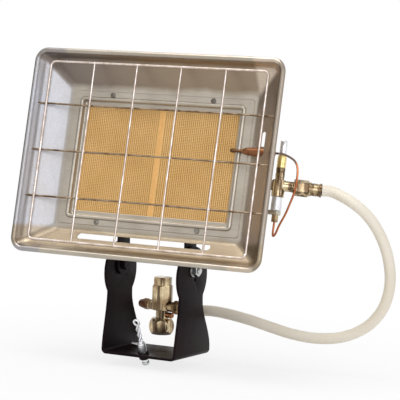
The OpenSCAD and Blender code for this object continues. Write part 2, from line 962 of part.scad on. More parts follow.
module ferrule(l) {
    color(brass_c) difference() {
        union() {
            cylinder(d = ferrule_d, h = l);
            cylinder(d = ferrule_ring_d, h = ferrule_ring_l);
            translate([0, 0, l - ferrule_ring_l])
                cylinder(d = ferrule_ring_d, h = ferrule_ring_l);
        }
        translate([0, 0, -overrun]) cylinder(d = nipple_d, h = l + 2 * overrun);
    }
}

module inlet_nipple() {
    in_inlet() translate([0, 0, inlet_start]) nipple(inlet_nut_l + ferrule_l);
}

module inlet_ferrule() {
    in_inlet() translate([0, 0, inlet_end]) ferrule(ferrule_l);
}

// Thermocouple

module thermocouple_tip() {
    color(bronze_c)
    in_probe() translate([0, 0, probe_tip_u]) {
        translate([0, 0, probe_tip_d / 2]) sphere(d = probe_tip_d);
        translate([0, 0, probe_tip_d / 2])
            cylinder(d = probe_tip_d, h = probe_tip_l - probe_tip_d / 2);
        translate([0, 0, probe_tip_l]) cylinder(d = probe_collar_d, h = probe_collar_l);
    }
}

module thermocouple_body() {
    color(copper_c)
    in_probe() translate([0, 0, probe_body_u]) {
        cylinder(d = probe_d, h = probe_body_l);
        translate([0, 0, probe_body_l]) cylinder(d = probe_tail_d, h = probe_tail_l);
    }
}

// Strip that runs out from under the plenum flange and turns up behind the wall
module thermocouple_bracket() {
    strip_n = shelf_back - plenum_t - holder_t;
    strip_u = plenum_w / 2;
    color(steel_c)
    in_head() difference() {
        translate([0, probe_w - holder_w / 2, 0]) {
            translate([strip_u, 0, strip_n])
                cube([holder_u + holder_t - strip_u, holder_w, holder_t]);
            translate([holder_u, 0, strip_n])
                cube([holder_t, holder_w, probe_n + probe_tail_d / 2 + holder_t - strip_n]);
        }
        translate([holder_u - overrun, probe_w, probe_n])
            rotate([0, 90, 0])
                cylinder(d = probe_tail_d, h = holder_t + 2 * overrun);
    }
}

module thermocouple_nut() {
    color(brass_c)
    in_probe() translate([0, 0, holder_u + holder_t]) difference() {
        hex_bar(probe_nut_af, probe_nut_l);
        translate([0, 0, -overrun]) cylinder(d = probe_tail_d, h = probe_nut_l + 2 * overrun);
    }
}

module thermocouple_lead() {
    color(copper_c) in_head() sweep(lead_route, lead_d / 2, lead_sides, [0, 0, 1]);
}

// Tilt joint

// Outline of a lug: x up the face, y out of the face
module lug_outline() {
    difference() {
        union() {
            translate([pivot_w, pivot_n]) circle(d = lug_w);
            polygon([
                [pivot_w, pivot_n - lug_w / 2], [pivot_w, pivot_n + lug_w / 2],
                [plenum_low, lug_front_n], [plenum_low, lug_front_n - lug_w]
            ]);
        }
        translate([pivot_w, pivot_n]) circle(d = pivot_d);
    }
}

module tilt_lugs() {
    color(black_c)
    in_head()
        for (side = [-1, 1]) {
            translate([side * (lug_out - lug_t / 2) - lug_t / 2, 0, 0])
                rotate([90, 0, 90])
                    linear_extrude(lug_t)
                        lug_outline();
            translate([side * (lug_out - lug_foot / 2), plenum_low - lug_t / 2,
                lug_front_n - lug_w / 2])
                cube([lug_foot, lug_t, lug_w], center = true);
        }
}

module pivot_bolts() {
    head_at = lug_out - lug_t;
    color(zinc_c)
    for (side = [-1, 1])
        at_pivot(side) {
            translate([0, 0, head_at - bolt_head_h])
                hex_bar(pivot_nut_af, bolt_head_h);
            translate([0, 0, head_at])
                cylinder(d = pivot_d,
                    h = arm_outer + part_gap + washer_t + pivot_nut_h + bolt_tail - head_at);
        }
}

module pivot_washers() {
    color(zinc_c)
    for (side = [-1, 1])
        at_pivot(side) translate([0, 0, arm_outer + part_gap]) difference() {
            cylinder(d = washer_d, h = washer_t);
            translate([0, 0, -overrun]) cylinder(d = pivot_d, h = washer_t + 2 * overrun);
        }
}

module pivot_nuts() {
    color(zinc_c)
    for (side = [-1, 1])
        at_pivot(side) translate([0, 0, arm_outer + part_gap + washer_t]) difference() {
            hex_bar(pivot_nut_af, pivot_nut_h);
            translate([0, 0, -overrun]) cylinder(d = pivot_d, h = pivot_nut_h + 2 * overrun);
        }
}

// Bracket

// Smooth step from 0 to 1
function ease(t) = let (c = min(max(t, 0), 1)) c * c * (3 - 2 * c);
function front_edge(z) = -base_front + (base_front - waist_front) * ease(z / waist_z);
function back_edge(z) =
    base_back + (waist_back - base_back) * ease((z - flare_foot) / (flare_top - flare_foot));

// Outline of an arm: x to the back, y up
module arm_outline() {
    join_angle = asin((arm_head_z - waist_z) / arm_head_r);
    sweep_angle = 180 + 2 * join_angle;
    polygon(concat(
        [for (i = [0:outline_steps])
            let (z = waist_z * i / outline_steps) [front_edge(z), z]],
        [for (i = [1:head_steps - 1])
            let (a = 180 + join_angle - sweep_angle * i / head_steps)
                [arm_head_y + arm_head_r * cos(a), arm_head_z + arm_head_r * sin(a)]],
        [for (i = [outline_steps:-1:0])
            let (z = waist_z * i / outline_steps) [back_edge(z), z]]
    ));
}

// Section of the bracket across its width: x across, y up
module bracket_section() {
    arm_top = arm_head_z + arm_head_r + bracket_t;
    difference() {
        rounded_rect(bracket_w, 2 * arm_top, bend_r + bracket_t);
        rounded_rect(2 * arm_inner, 2 * (arm_top - bracket_t), bend_r);
    }
}

module u_bracket() {
    color(black_c)
    difference() {
        intersection() {
            translate([0, base_back + overrun, arm_head_z + arm_head_r + bracket_t])
                rotate([90, 0, 0])
                    linear_extrude(base_front + base_back + 2 * overrun)
                        bracket_section();
            translate([-arm_outer - overrun, 0, 0])
                rotate([90, 0, 90])
                    linear_extrude(bracket_w + 2 * overrun)
                        arm_outline();
        }
        for (side = [-1, 1])
            at_pivot(side) {
                translate([0, 0, arm_inner - overrun])
                    cylinder(d = pivot_d + 2 * run_gap, h = bracket_t + 2 * overrun);
                translate([side * index_hole_drop, pivot_front, arm_inner - overrun])
                    cylinder(d = index_hole_d, h = bracket_t + 2 * overrun);
            }
        in_clamp() cylinder(d = boss_d, h = 2 * boss_l, center = true);
    }
}

// Clamp

module clamp_boss() {
    color(black_c)
    in_clamp() difference() {
        cylinder(d = boss_d, h = boss_l, center = true);
        cylinder(d = screw_d + 2 * run_gap, h = boss_l + 2 * overrun, center = true);
    }
}

module clamp_screw() {
    color(zinc_c)
    in_clamp() difference() {
        union() {
            translate([0, 0, stud_tip + neck_tip_l])
                cylinder(d = screw_d, h = barrel_end - stud_tip - neck_tip_l);
            translate([0, 0, stud_tip]) cylinder(d = neck_tip_d, h = neck_tip_l);
            translate([0, 0, barrel_start]) cylinder(d = barrel_d, h = barrel_l);
        }
        cross_bar_place() cylinder(d = bar_cross_d, h = bar_cross_l);
    }
}

module cross_bar_place() {
    translate([0, 0, bar_cross_z])
        rotate([0, 0, -bar_cross_turn])
            rotate([90, 0, 0])
                children();
}

module clamp_bar() {
    color(zinc_c) in_clamp() cross_bar_place() cylinder(d = bar_cross_d, h = bar_cross_l);
}

// One strand of the twisted handle, from the collar to the eye
function strand_point(phase, t, low, high) =
    let (a = phase + 360 * strand_turns * t)
    [strand_run * cos(a), strand_run * sin(a), low + (high - low) * t];

module clamp_handle() {
    low = barrel_end;
    eye_z = barrel_end + handle_l - (eye_ring_d + eye_wire_d) / 2;
    high = eye_z - eye_ring_d / 2 + eye_wire_d / 2;
    color(zinc_c)
    in_clamp() {
        translate([0, 0, low]) cylinder(d = barrel_d - strand_d / 2, h = handle_collar_l);
        for (phase = [0, 180])
            sweep([for (i = [0:strand_steps])
                strand_point(phase, i / strand_steps, low + handle_collar_l / 2, high)],
                strand_d / 2, strand_sides, [1, 0, 0]);
        translate([0, 0, eye_z])
            rotate([0, 90, 90])
                rotate_extrude()
                    translate([eye_ring_d / 2, 0])
                        circle(d = eye_wire_d);
    }
}

module clamp_cap() {
    color(zinc_c)
    in_clamp() translate([0, 0, stud_tip - cap_floor]) difference() {
        cylinder(d = cap_d, h = cap_l - part_gap);
        translate([0, 0, cap_floor - run_gap])
            cylinder(d = neck_tip_d + 2 * run_gap, h = cap_l);
    }
}

// Bottle connector

module connector_body() {
    color(brass_c)
    in_connector() difference() {
        union() {
            translate([0, 0, conn_body_z]) hex_bar(conn_af, conn_body_h);
            translate([0, 0, conn_body_z + conn_body_h]) hex_bar(conn_top_af, conn_top_h);
            translate([0, 0, conn_flange_z()]) {
                cylinder(d = conn_flange_d, h = conn_flange_t);
                cylinder(d = conn_neck_d, h = conn_body_z - conn_flange_z());
            }
            translate([0, 0, conn_branch_z])
                rotate([0, 90, 0])
                    translate([0, 0, -conn_cap_reach])
                        cylinder(d = conn_branch_d, h = conn_cap_reach + conn_hose_reach);
        }
        translate([0, 0, conn_flange_z() - overrun])
            cylinder(d = conn_bore_d, h = conn_branch_z - conn_flange_z() + overrun);
        translate([0, 0, conn_branch_z])
            rotate([0, 90, 0])
                cylinder(d = conn_bore_d, h = conn_hose_reach + overrun);
    }
}

function conn_flange_z() = coupling_top - coupling_wall - part_gap - conn_flange_t;

module connector_cap() {
    color(bronze_c)
    in_connector()
        translate([-conn_cap_reach, 0, conn_branch_z])
            rotate([0, -90, 0]) {
                hex_bar(cap_af, (cap_reach - conn_cap_reach) / 2);
                translate([0, 0, (cap_reach - conn_cap_reach) / 2])
                    cylinder(d1 = cap_af, d2 = cap_tip_d, h = (cap_reach - conn_cap_reach) / 2);
            }
}

module connector_plug() {
    color(copper_c)
    in_connector()
        translate([0, 0, plug_z])
            rotate([0, 90, 0])
                difference() {
                    cylinder(d = plug_d, h = conn_neck_d / 2 + plug_l);
                    translate([-plug_z, 0, 0])
                        rotate([0, 90, 0])
                            cylinder(d = conn_neck_d, h = 2 * plug_z);
                }
}

module connector_nipple() {
    color(brass_c)
    in_connector()
        translate([conn_hose_reach, 0, conn_branch_z])
            rotate([0, 90, 0]) {
                difference() {
                    hex_bar(conn_nut_af, conn_nut_l);
                    translate([0, 0, -overrun])
                        cylinder(d = nipple_bore_d, h = conn_nut_l + 2 * overrun);
                }
                translate([0, 0, conn_nut_l]) nipple(conn_ferrule_l);
            }
}

module connector_ferrule() {
    in_connector()
        translate([conn_hose_reach + conn_nut_l, 0, conn_branch_z])
            rotate([0, 90, 0])
                ferrule(conn_ferrule_l);
}

// Hexagon nut with rounded ends, threaded from below
module coupling_nut() {
    corner_d = coupling_af / cos(30);
    color(brass_c)
    in_connector() translate([0, 0, coupling_z]) difference() {
        intersection() {
            rotate([0, 0, coupling_spin]) hex_bar(coupling_af, coupling_h);
            translate([0, 0, coupling_h / 2]) sphere(d = corner_d);
        }
        translate([0, 0, -overrun]) cylinder(d = thread_d, h = thread_l + overrun);
        translate([0, 0, thread_l])
            cylinder(d = thread_d + 2 * relief_run, h = coupling_h - coupling_wall - thread_l);
        cylinder(d = conn_neck_d + 2 * run_gap, h = coupling_h + overrun);
    }
}

module seal_washer() {
    color(rubber_c)
    in_connector() translate([0, 0, conn_flange_z() - seal_t]) difference() {
        cylinder(d = conn_flange_d, h = seal_t);
        translate([0, 0, -overrun]) cylinder(d = seal_hole_d, h = seal_t + 2 * overrun);
    }
}

module gas_hose() {
    color(hose_c) sweep(hose_route, hose_d / 2, hose_sides, [0, 1, 0]);
}

reflector_pan();
guard_loop();
guard_upright(0);  // guard_upright_1
guard_upright(1);  // guard_upright_2
guard_upright(2);  // guard_upright_3
guard_upright(3);  // guard_upright_4
guard_crossbar(0);  // guard_crossbar_1
guard_crossbar(1);  // guard_crossbar_2
guard_crossbar(2);  // guard_crossbar_3
burner_frame();
frame_screws();
plaque(-1);  // plaque_left
plaque(1);  // plaque_right
plaque_joint();
plaque_gasket();
plenum_box();
baffle_plate();
mixing_tube();
injector_holder();
injector_jet();
valve_body();
valve_bonnet();
valve_collar();
valve_spring();
valve_button();
valve_disc();
magnet_housing();
magnet_unit();
valve_clip();
lead_nut();
inlet_nut();
inlet_nipple();
inlet_ferrule();
thermocouple_tip();
thermocouple_body();
thermocouple_bracket();
thermocouple_nut();
thermocouple_lead();
tilt_lugs();
pivot_bolts();
pivot_washers();
pivot_nuts();
u_bracket();
clamp_boss();
clamp_screw();
clamp_bar();
clamp_handle();
clamp_cap();
connector_body();
connector_cap();
connector_plug();
connector_nipple();
connector_ferrule();
coupling_nut();
seal_washer();
gas_hose();
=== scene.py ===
"""Mobile gas radiant heater: its visible pieces, their finishes and the studio round it."""

from math import cos, pi, radians, sin

import bmesh
import bpy
from mathutils import Matrix, Vector


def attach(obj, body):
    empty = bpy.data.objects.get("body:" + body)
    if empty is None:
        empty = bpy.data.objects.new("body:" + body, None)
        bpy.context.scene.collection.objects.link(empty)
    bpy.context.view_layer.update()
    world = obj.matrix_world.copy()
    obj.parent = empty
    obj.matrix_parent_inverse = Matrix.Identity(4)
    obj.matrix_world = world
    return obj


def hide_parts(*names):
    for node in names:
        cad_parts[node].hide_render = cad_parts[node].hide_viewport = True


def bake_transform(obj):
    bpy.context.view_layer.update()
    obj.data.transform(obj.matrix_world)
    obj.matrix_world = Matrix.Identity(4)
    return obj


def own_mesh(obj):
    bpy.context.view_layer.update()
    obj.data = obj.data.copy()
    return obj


MM = 0.001

# The camera: azimuth, elevation and roll in degrees, the aim and the distance in metres
CAMERA_ANGLES = (28.0412, 4.5718, 2.2119)
CAMERA_RIGHT = 0.053665
CAMERA_UP = 0.183282
CAMERA_DISTANCE = 2.5
CAMERA_LENS = 188.286

# The head and what is measured along it
HEAD_TILT = 11.0
HEAD_ORIGIN = (0, -46, 238)
BURNER_DROP = 3.0
VALVE_U, VALVE_W, VALVE_N = 149.0, -15.5, -62.0
PROBE_W, PROBE_N = 16.5, -22.0
INLET_TURN = 25.0
PIVOT = (0, -6, 105)
CLAMP_ORIGIN = (0, -27, 1.5)
CLAMP_LEAN = 27.0
CONNECTOR_ORIGIN = (-37, 80, 0)
CONNECTOR_TURN = -8.0
BRANCH_Z, PLUG_Z = 46, 35.5
COUPLING_SPIN = 36.0
CROSS_BAR_TURN = -100.0

LAMP_AIM = (0, 0, 0.18)
FLOOR_Z = -13.0
FLOOR_COLOUR = (0.86, 0.86, 0.86, 1)
FLOOR_FADE = (0.1, 0.6)

# Hand work: what is merged, what counts as flat, and the angle that keeps a nut's facets
MERGE_REACH = 1e-6
FLAT_ANGLE = 2.0
FACET = 12


def turn(degrees, axis):
    return Matrix.Rotation(radians(degrees), 4, axis)


def shift(x, y, z):
    return Matrix.Translation(Vector((x, y, z)) * MM)


HEAD = shift(*HEAD_ORIGIN) @ turn(90 - HEAD_TILT, "X")
BURNER = HEAD @ shift(0, -BURNER_DROP, 0)
VALVE = HEAD @ shift(VALVE_U, 0, VALVE_N) @ turn(-90, "X")
INLET = VALVE @ shift(0, 0, VALVE_W) @ turn(INLET_TURN, "Z") @ turn(90, "Y")
TUBE = HEAD @ shift(0, VALVE_W, VALVE_N) @ turn(90, "Y")
PROBE = HEAD @ shift(0, PROBE_W, PROBE_N) @ turn(90, "Y")
CLAMP = shift(*CLAMP_ORIGIN) @ turn(CLAMP_LEAN, "X")
CONNECTOR = shift(*CONNECTOR_ORIGIN) @ turn(CONNECTOR_TURN, "Z")
BRANCH = CONNECTOR @ shift(0, 0, BRANCH_Z) @ turn(90, "Y")
CAP_BRANCH = CONNECTOR @ shift(0, 0, BRANCH_Z) @ turn(-90, "Y")
PIVOT_SIDES = [shift(*PIVOT) @ turn(90 * side, "Y") for side in (-1, 1)]


# Finishes


def paint(code):
    """A colour such as #D9A85C as the linear numbers that a shader takes."""
    parts = [int(code[i : i + 2], 16) / 255 for i in (1, 3, 5)]
    return [p / 12.92 if p <= 0.04045 else ((p + 0.055) / 1.055) ** 2.4 for p in parts] + [1.0]


class Finish:
    """A procedural material on the object's own coordinates."""

    def __init__(self, name, colour, metal, rough):
        self.material = bpy.data.materials.new(name)
        self.material.use_nodes = True
        self.tree = self.material.node_tree
        self.shader = self.tree.nodes["Principled BSDF"]
        self.set("Base Color", paint(colour))
        self.set("Metallic", metal)
        self.set("Roughness", rough)
        self.place = self.add("ShaderNodeTexCoord").outputs["Object"]

    def set(self, socket, value):
        self.shader.inputs[socket].default_value = value

    def add(self, kind, **settings):
        node = self.tree.nodes.new(kind)
        for name, value in settings.items():
            setattr(node, name, value)
        return node

    def link(self, out, into):
        self.tree.links.new(out, into)

    def noise(self, scale, detail, stretch=(1, 1, 1), rough=0.55):
        mapping = self.add("ShaderNodeMapping")
        mapping.inputs["Scale"].default_value = stretch
        self.link(self.place, mapping.inputs["Vector"])
        node = self.add("ShaderNodeTexNoise")
        node.inputs["Scale"].default_value = scale
        node.inputs["Detail"].default_value = detail
        node.inputs["Roughness"].default_value = rough
        self.link(mapping.outputs["Vector"], node.inputs["Vector"])
        return node.outputs["Fac"]

    def spread(self, value, low=0, high=1, from_low=0.3, from_high=0.7, **settings):
        """Value's range turned to low and high, and held there beyond its ends."""
        node = self.add("ShaderNodeMapRange", **settings)
        sockets = ("From Min", "From Max", "To Min", "To Max")
        for socket, number in zip(sockets, (from_low, from_high, low, high)):
            node.inputs[socket].default_value = number
        self.link(value, node.inputs["Value"])
        return node.outputs["Result"]

    def along(self, axis):
        """How far a point lies along one of the axes, in metres."""
        node = self.add("ShaderNodeSeparateXYZ")
        self.link(self.place, node.inputs[0])
        return node.outputs[axis]

    def sum_of(self, operation, first, second):
        node = self.add("ShaderNodeMath", operation=operation)
        self.link(first, node.inputs[0])
        self.link(second, node.inputs[1])
        return node.outputs[0]

    def total(self, first, second):
        return self.sum_of("ADD", first, second)

    def product(self, first, second):
        return self.sum_of("MULTIPLY", first, second)

    def blend(self, share, first, second):
        """Colour that goes from first to second with share. Each is a colour or a socket."""
        node = self.add("ShaderNodeMix", data_type="RGBA")
        self.link(share, node.inputs["Factor"])
        for socket, colour in ((node.inputs[6], first), (node.inputs[7], second)):
            if isinstance(colour, str):
                socket.default_value = paint(colour)
            else:
                self.link(colour, socket)
        return node.outputs[2]

    def colour(self, socket):
        self.link(socket, self.shader.inputs["Base Color"])

    def rough(self, socket):
        self.link(socket, self.shader.inputs["Roughness"])

    def bump(self, height, strength, distance):
        node = self.add("ShaderNodeBump")
        node.inputs["Strength"].default_value = strength
        node.inputs["Distance"].default_value = distance
        self.link(height, node.inputs["Height"])
        self.link(node.outputs["Normal"], self.shader.inputs["Normal"])


# Where the painted reflection tints of the reflector run, in metres of x for its sides and of z for
# top and foot
LEFT_FOLD, LEFT_CREASE = (-0.128, -0.122), (-0.133, -0.126)
RIGHT_FOLD, RIGHT_ROLL = (0.124, 0.129), (0.157, 0.161)
TOP_FOLD, TOP_ROLL = (0.311, 0.319), (0.348, 0.354)
FOOT_FOLD, FOOT_ROLL = (0.143, 0.149), (0.121, 0.126)
TOP_WALL, CREASE_RUN = (0.314, 0.350), 0.034
# Painted reflection: the run in x over which the top wall's mirrored tone goes from dark to lighter
# brown-grey.
TOP_REFLECTION_RUN = (-0.13, 0.02)


def reflector_steel():
    """Brushed sheet whose walls carry painted reflections: each wall and rim is tinted to the tone
    it mirrors, cool grey on the left, dark brown-grey on top, light on the right wall, grey-brown
    on the right rim and tan at the foot.
    """
    f = Finish("reflector_steel", "#A9A49A", 1.0, 0.36)
    grain = f.noise(40, 4, (1.2, 22, 22), rough=0.7)
    clouds = f.noise(14, 3)
    height = f.along("Z")
    across = f.along("X")
    # Painted reflection: the left wall and bead get a cool bluish grey, the tone of the light they
    # mirror.
    side = f.blend(f.spread(across, 0, 1, *LEFT_FOLD), "#A8A8AC", "#C6BEB0")
    plain = f.blend(f.spread(clouds, 0, 0.5, 0.35, 0.7), side, "#A0968A")
    level = f.total(height, f.spread(clouds, -0.003, 0.003))
    wall = f.product(f.spread(level, 0, 1, *TOP_FOLD), f.spread(height, 1, 0.3, *TOP_ROLL))
    crease = f.total(across, f.spread(height, 0, CREASE_RUN, *TOP_WALL))
    high = f.product(wall, f.spread(crease, 0, 1, *LEFT_CREASE))
    # Painted reflection: the top wall, right of the left crease, is darkened to the brown-grey it
    # mirrors.
    top_wall_reflection = f.blend(f.spread(across, 0, 1, *TOP_REFLECTION_RUN), "#81766F", "#9A8873")
    # Painted reflection: the right wall is lightened to the pale tone it mirrors.
    right = f.product(
        f.spread(across, 0, 0.8, *RIGHT_FOLD), f.spread(across, 1, 0.85, *RIGHT_ROLL)
    )
    walls = f.blend(right, f.blend(high, plain, top_wall_reflection), "#D8C7B5")
    # Painted reflection: the right rim and bead are darkened to the grey-brown they mirror.
    darkened = f.blend(f.spread(across, 0, 0.9, *RIGHT_ROLL), walls, "#8E8275")
    # Painted reflection: the foot wall is tinted tan, the tone it mirrors.
    foot = f.product(f.spread(level, 0.85, 0, *FOOT_FOLD), f.spread(height, 0.15, 1, *FOOT_ROLL))
    toned = f.blend(foot, darkened, "#95846B")
    f.colour(f.blend(f.spread(grain, 0, 0.25), toned, "#7F776B"))
    f.rough(f.spread(grain, 0.3, 0.44))
    f.bump(grain, 0.1, 0.0004)
    return f.material


def wire_steel(name, light, dark):
    f = Finish(name, light, 1.0, 0.3)
    patches = f.noise(90, 3)
    f.colour(f.blend(f.spread(patches), light, dark))
    f.rough(f.spread(patches, 0.24, 0.42))
    f.bump(f.noise(900, 2), 0.15, 0.0002)
    return f.material


def fired_ceramic():
    f = Finish("fired_ceramic", "#D9A85C", 0.0, 0.9)
    clouds = f.noise(26, 4)
    grain = f.noise(700, 3)
    tone = f.blend(f.spread(clouds), "#EEC17A", "#E0AF65")
    f.colour(f.blend(f.spread(grain, 0, 0.35), tone, "#F0CE96"))
    f.bump(grain, 0.35, 0.0004)
    return f.material


def ceramic_cement():
    f = Finish("ceramic_cement", "#F0B870", 0.0, 0.85)
    grain = f.noise(240, 4)
    f.colour(f.blend(f.spread(grain), "#F4BE76", "#E8AF67"))
    f.bump(grain, 0.4, 0.0006)
    return f.material


def metal(name, light, dark, low, high, strength=0.12):
    """Plated or bare metal with cloudy tarnish and a fine grain."""
    f = Finish(name, light, 1.0, (low + high) / 2)
    clouds = f.noise(45, 4)
    grain = f.noise(500, 2)
    f.colour(f.blend(f.spread(clouds, 0, 1, 0.38, 0.68), light, dark))
    f.rough(f.spread(clouds, low, high))
    f.bump(grain, strength, 0.0002)
    return f.material


def turned_brass():
    """Brass in cloudy tones, bright where it is rubbed, with painted reflections: dark upright
    streaks that stand in for the dark surroundings it mirrors.
    """
    f = Finish("turned_brass", "#D8C195", 1.0, 0.2)
    reflection_streaks = f.noise(120, 3, (1, 1, 0.12))
    clouds = f.noise(45, 4)
    rubbed = f.blend(f.spread(clouds, 0, 1, 0.38, 0.68), "#DCC9A2", "#7E5F40")
    # Painted reflection: dark upright streaks in the colour stand in for mirrored dark
    # surroundings.
    f.colour(f.blend(f.spread(reflection_streaks, 0, 0.85, 0.46, 0.56), rubbed, "#4A3523"))
    f.rough(f.spread(reflection_streaks, 0.14, 0.3))
    f.bump(f.noise(500, 2), 0.04, 0.0002)
    return f.material


SCORCH_LINE = (0.232, 0.243)


def scorched_copper():
    """Copper tube, grey-brown where it runs past the burner's height."""
    f = Finish("scorched_copper", "#C87B50", 1.0, 0.3)
    clouds = f.noise(60, 3)
    bare = f.blend(f.spread(clouds), "#CE8255", "#A45C38")
    level = f.total(f.along("Z"), f.spread(clouds, -0.004, 0.004))
    darkened = f.spread(level, 0, 1, *SCORCH_LINE)
    f.colour(f.blend(darkened, bare, "#6E5B50"))
    f.rough(f.spread(clouds, 0.24, 0.4))
    f.bump(f.noise(700, 2), 0.1, 0.0002)
    return f.material


def black_paint():
    f = Finish("black_paint", "#1D151A", 0.0, 0.4)
    clouds = f.noise(22, 3)
    peel = f.noise(420, 2)
    f.colour(f.blend(f.spread(clouds), "#10090E", "#1F1213"))
    f.rough(f.spread(peel, 0.34, 0.46))
    f.set("Specular IOR Level", 0.06)
    f.bump(peel, 0.12, 0.0005)
    return f.material


def hose_rubber():
    f = Finish("hose_rubber", "#F1E7D8", 0.0, 0.42)
    clouds = f.noise(9, 2)
    f.colour(f.blend(f.spread(clouds), "#F1E7D4", "#E9DDC7"))
    f.rough(f.spread(f.noise(60, 2), 0.4, 0.48))
    f.bump(f.noise(500, 2), 0.03, 0.0002)
    return f.material


def seal_rubber():
    f = Finish("seal_rubber", "#1C1C1D", 0.0, 0.7)
    f.rough(f.spread(f.noise(200, 3), 0.6, 0.8))
    f.bump(f.noise(500, 2), 0.2, 0.0003)
    return f.material


def ceramic_fibre():
    f = Finish("ceramic_fibre", "#E9E6DE", 0.0, 0.95)
    fibres = f.noise(300, 4, (1, 6, 1))
    f.colour(f.blend(f.spread(fibres), "#EDEAE3", "#D5D0C4"))
    f.bump(fibres, 0.5, 0.0008)
    return f.material


def make_finishes():
    return {
        "reflector_steel": reflector_steel(),
        "guard_wire": wire_steel("wire_steel", "#E8DDD7", "#BCAA99"),
        "crossbar_wire": wire_steel("scorched_wire", "#A8957E", "#5F4A35"),
        "ceramic": fired_ceramic(),
        "ceramic_joint": ceramic_cement(),
        "ceramic_fibre": ceramic_fibre(),
        "brass": turned_brass(),
        "bright_brass": metal("bright_brass", "#F0DC9E", "#CFB266", 0.16, 0.28, strength=0.04),
        # Painted shade: a dark brass for the coupling nut's downward faces.
        "oiled_brass": metal("oiled_brass", "#5C4F47", "#332B2A", 0.3, 0.5),
        "bronze": metal("dull_bronze", "#8A6446", "#4E3526", 0.3, 0.5),
        "copper": metal("drawn_copper", "#AE7A52", "#6E4630", 0.26, 0.42),
        "lead_copper": scorched_copper(),
        "frame_zinc": metal("dull_zinc", "#98938A", "#6C675F", 0.4, 0.55),
        "bright_zinc": metal("bright_zinc", "#F0F0F1", "#D2D2D2", 0.4, 0.52),
        "black_paint": black_paint(),
        "zinc_steel": metal("zinc_steel", "#CBCDCC", "#9B9A94", 0.22, 0.38),
        "chrome": metal("chrome_plate", "#E3E3E6", "#C6C5C8", 0.06, 0.12, strength=0.03),
        "rubber": seal_rubber(),
        "hose_rubber": hose_rubber(),
        "clip_steel": metal("clip_steel", "#D2CCBF", "#A39A8B", 0.32, 0.45),
    }


# Hand tools


def nothing_selected():
    if bpy.context.object and bpy.context.object.mode != "OBJECT":
        bpy.ops.object.mode_set(mode="OBJECT")
    bpy.ops.object.select_all(action="DESELECT")


def only(piece):
    nothing_selected()
    piece.select_set(True)
    bpy.context.view_layer.objects.active = piece
    return piece


def named(name):
    piece = bpy.context.object
    piece.name = piece.data.name = name
    return piece


def settled(piece, frame=None):
    """Puts the piece in its frame and its place into its mesh."""
    only(piece)
    if frame is not None:
        piece.matrix_world = frame @ piece.matrix_world
    bpy.ops.object.transform_apply(location=True, rotation=True, scale=True)
    return piece


def opened(piece, choice="SELECT"):
    """The piece in edit mode, with all of it selected or, with DESELECT, nothing."""
    only(piece)
    bpy.ops.object.mode_set(mode="EDIT")
    bpy.ops.mesh.select_all(action=choice)
    return bmesh.from_edit_mesh(piece.data)


def faced(piece):
    """Back to object mode, with all faces turned outwards."""
    bpy.ops.mesh.select_all(action="SELECT")
    bpy.ops.mesh.normals_make_consistent(inside=False)
    bpy.ops.object.mode_set(mode="OBJECT")
    return piece


def closed(piece):
    """Merges what doubles, too."""
    bpy.ops.mesh.select_all(action="SELECT")
    bpy.ops.mesh.remove_doubles(threshold=MERGE_REACH)
    return faced(piece)


def apply_modifier(piece, kind, **settings):
    only(piece)
    bpy.ops.object.modifier_add(type=kind)
    modifier = piece.modifiers[-1]
    for name, value in settings.items():
        setattr(modifier, name, value)
    bpy.ops.object.modifier_apply(modifier=modifier.name)
    return piece


def outward(piece):
    opened(piece)
    return closed(piece)


def smooth(piece, degrees=35):
    only(piece)
    bpy.ops.object.shade_smooth_by_angle(angle=radians(degrees))
    return piece


def softened(piece, width, segments=2, degrees=30):
    """Rounds the edges that are sharper than the angle."""
    apply_modifier(
        piece,
        "BEVEL",
        width=width * MM,
        segments=segments,
        limit_method="ANGLE",
        angle_limit=radians(degrees),
        harden_normals=False,
    )
    return smooth(piece)


def joined(name, pieces):
    only(pieces[0])
    for piece in pieces[1:]:
        piece.select_set(True)
    if len(pieces) > 1:
        bpy.ops.object.join()
    return named(name)


def lathe(name, stations, frame, body, slot, sides=48, angle=30):
    """A turned piece, shaded and fitted."""
    return fitted(smooth(turned(name, stations, sides), angle), frame, body, slot)


def sleeve(name, stations, frame, body, slot, sides=56):
    """A hollow turned piece, shaded and fitted."""
    return fitted(smooth(turned(name, stations, sides, hollow=True), 30), frame, body, slot)


def combined(piece, tool, how):
    """Cuts with, keeps within or unites with the tool, which is used up."""
    apply_modifier(piece, "BOOLEAN", operation=how, object=tool, solver="EXACT")
    bpy.data.objects.remove(tool)
    return piece


def turned(name, stations, sides=48, hollow=False):
    """A bar built up its z axis through stations of (height, radius). A hollow one
    closes from its last station to its first."""
    nothing_selected()
    height, radius = stations[0]
    bpy.ops.mesh.primitive_circle_add(
        vertices=sides,
        radius=radius * MM,
        fill_type="NOTHING" if hollow else "NGON",
        location=(0, 0, height * MM),
        rotation=(0, 0, pi / sides),
    )
    bar = settled(named(name))
    opened(bar)
    for (low, near), (high, far) in zip(stations, stations[1:]):
        bpy.ops.mesh.extrude_region_move(
            TRANSFORM_OT_translate={"value": (0, 0, (high - low) * MM)}
        )
        if near != far:
            share = far / near
            bpy.ops.transform.resize(value=(share, share, 1), center_override=(0, 0, 0))
    if hollow:
        bpy.ops.mesh.select_all(action="DESELECT")
        bpy.ops.mesh.select_non_manifold()
        bpy.ops.mesh.bridge_edge_loops()
    return faced(bar)


def hexagon(name, flats, low, high, chamfer=0.12):
    """A hexagon bar whose corners are turned off at both ends. The cones that turn
    them off go on past the ends, because two ends in one plane cut unreliably."""
    corner = flats / 2 / cos(radians(30))
    bar = turned(name, [(low, corner), (high, corner)], 6)
    rise = chamfer * corner
    face = flats / 2 * 0.97
    clear = corner * 1.01
    tip = face - (clear - face) / 2
    limit = turned(
        name + "_limit",
        [(low - rise / 2, tip), (low + rise, clear), (high - rise, clear), (high + rise / 2, tip)],
        64,
    )
    return combined(bar, limit, "INTERSECT")


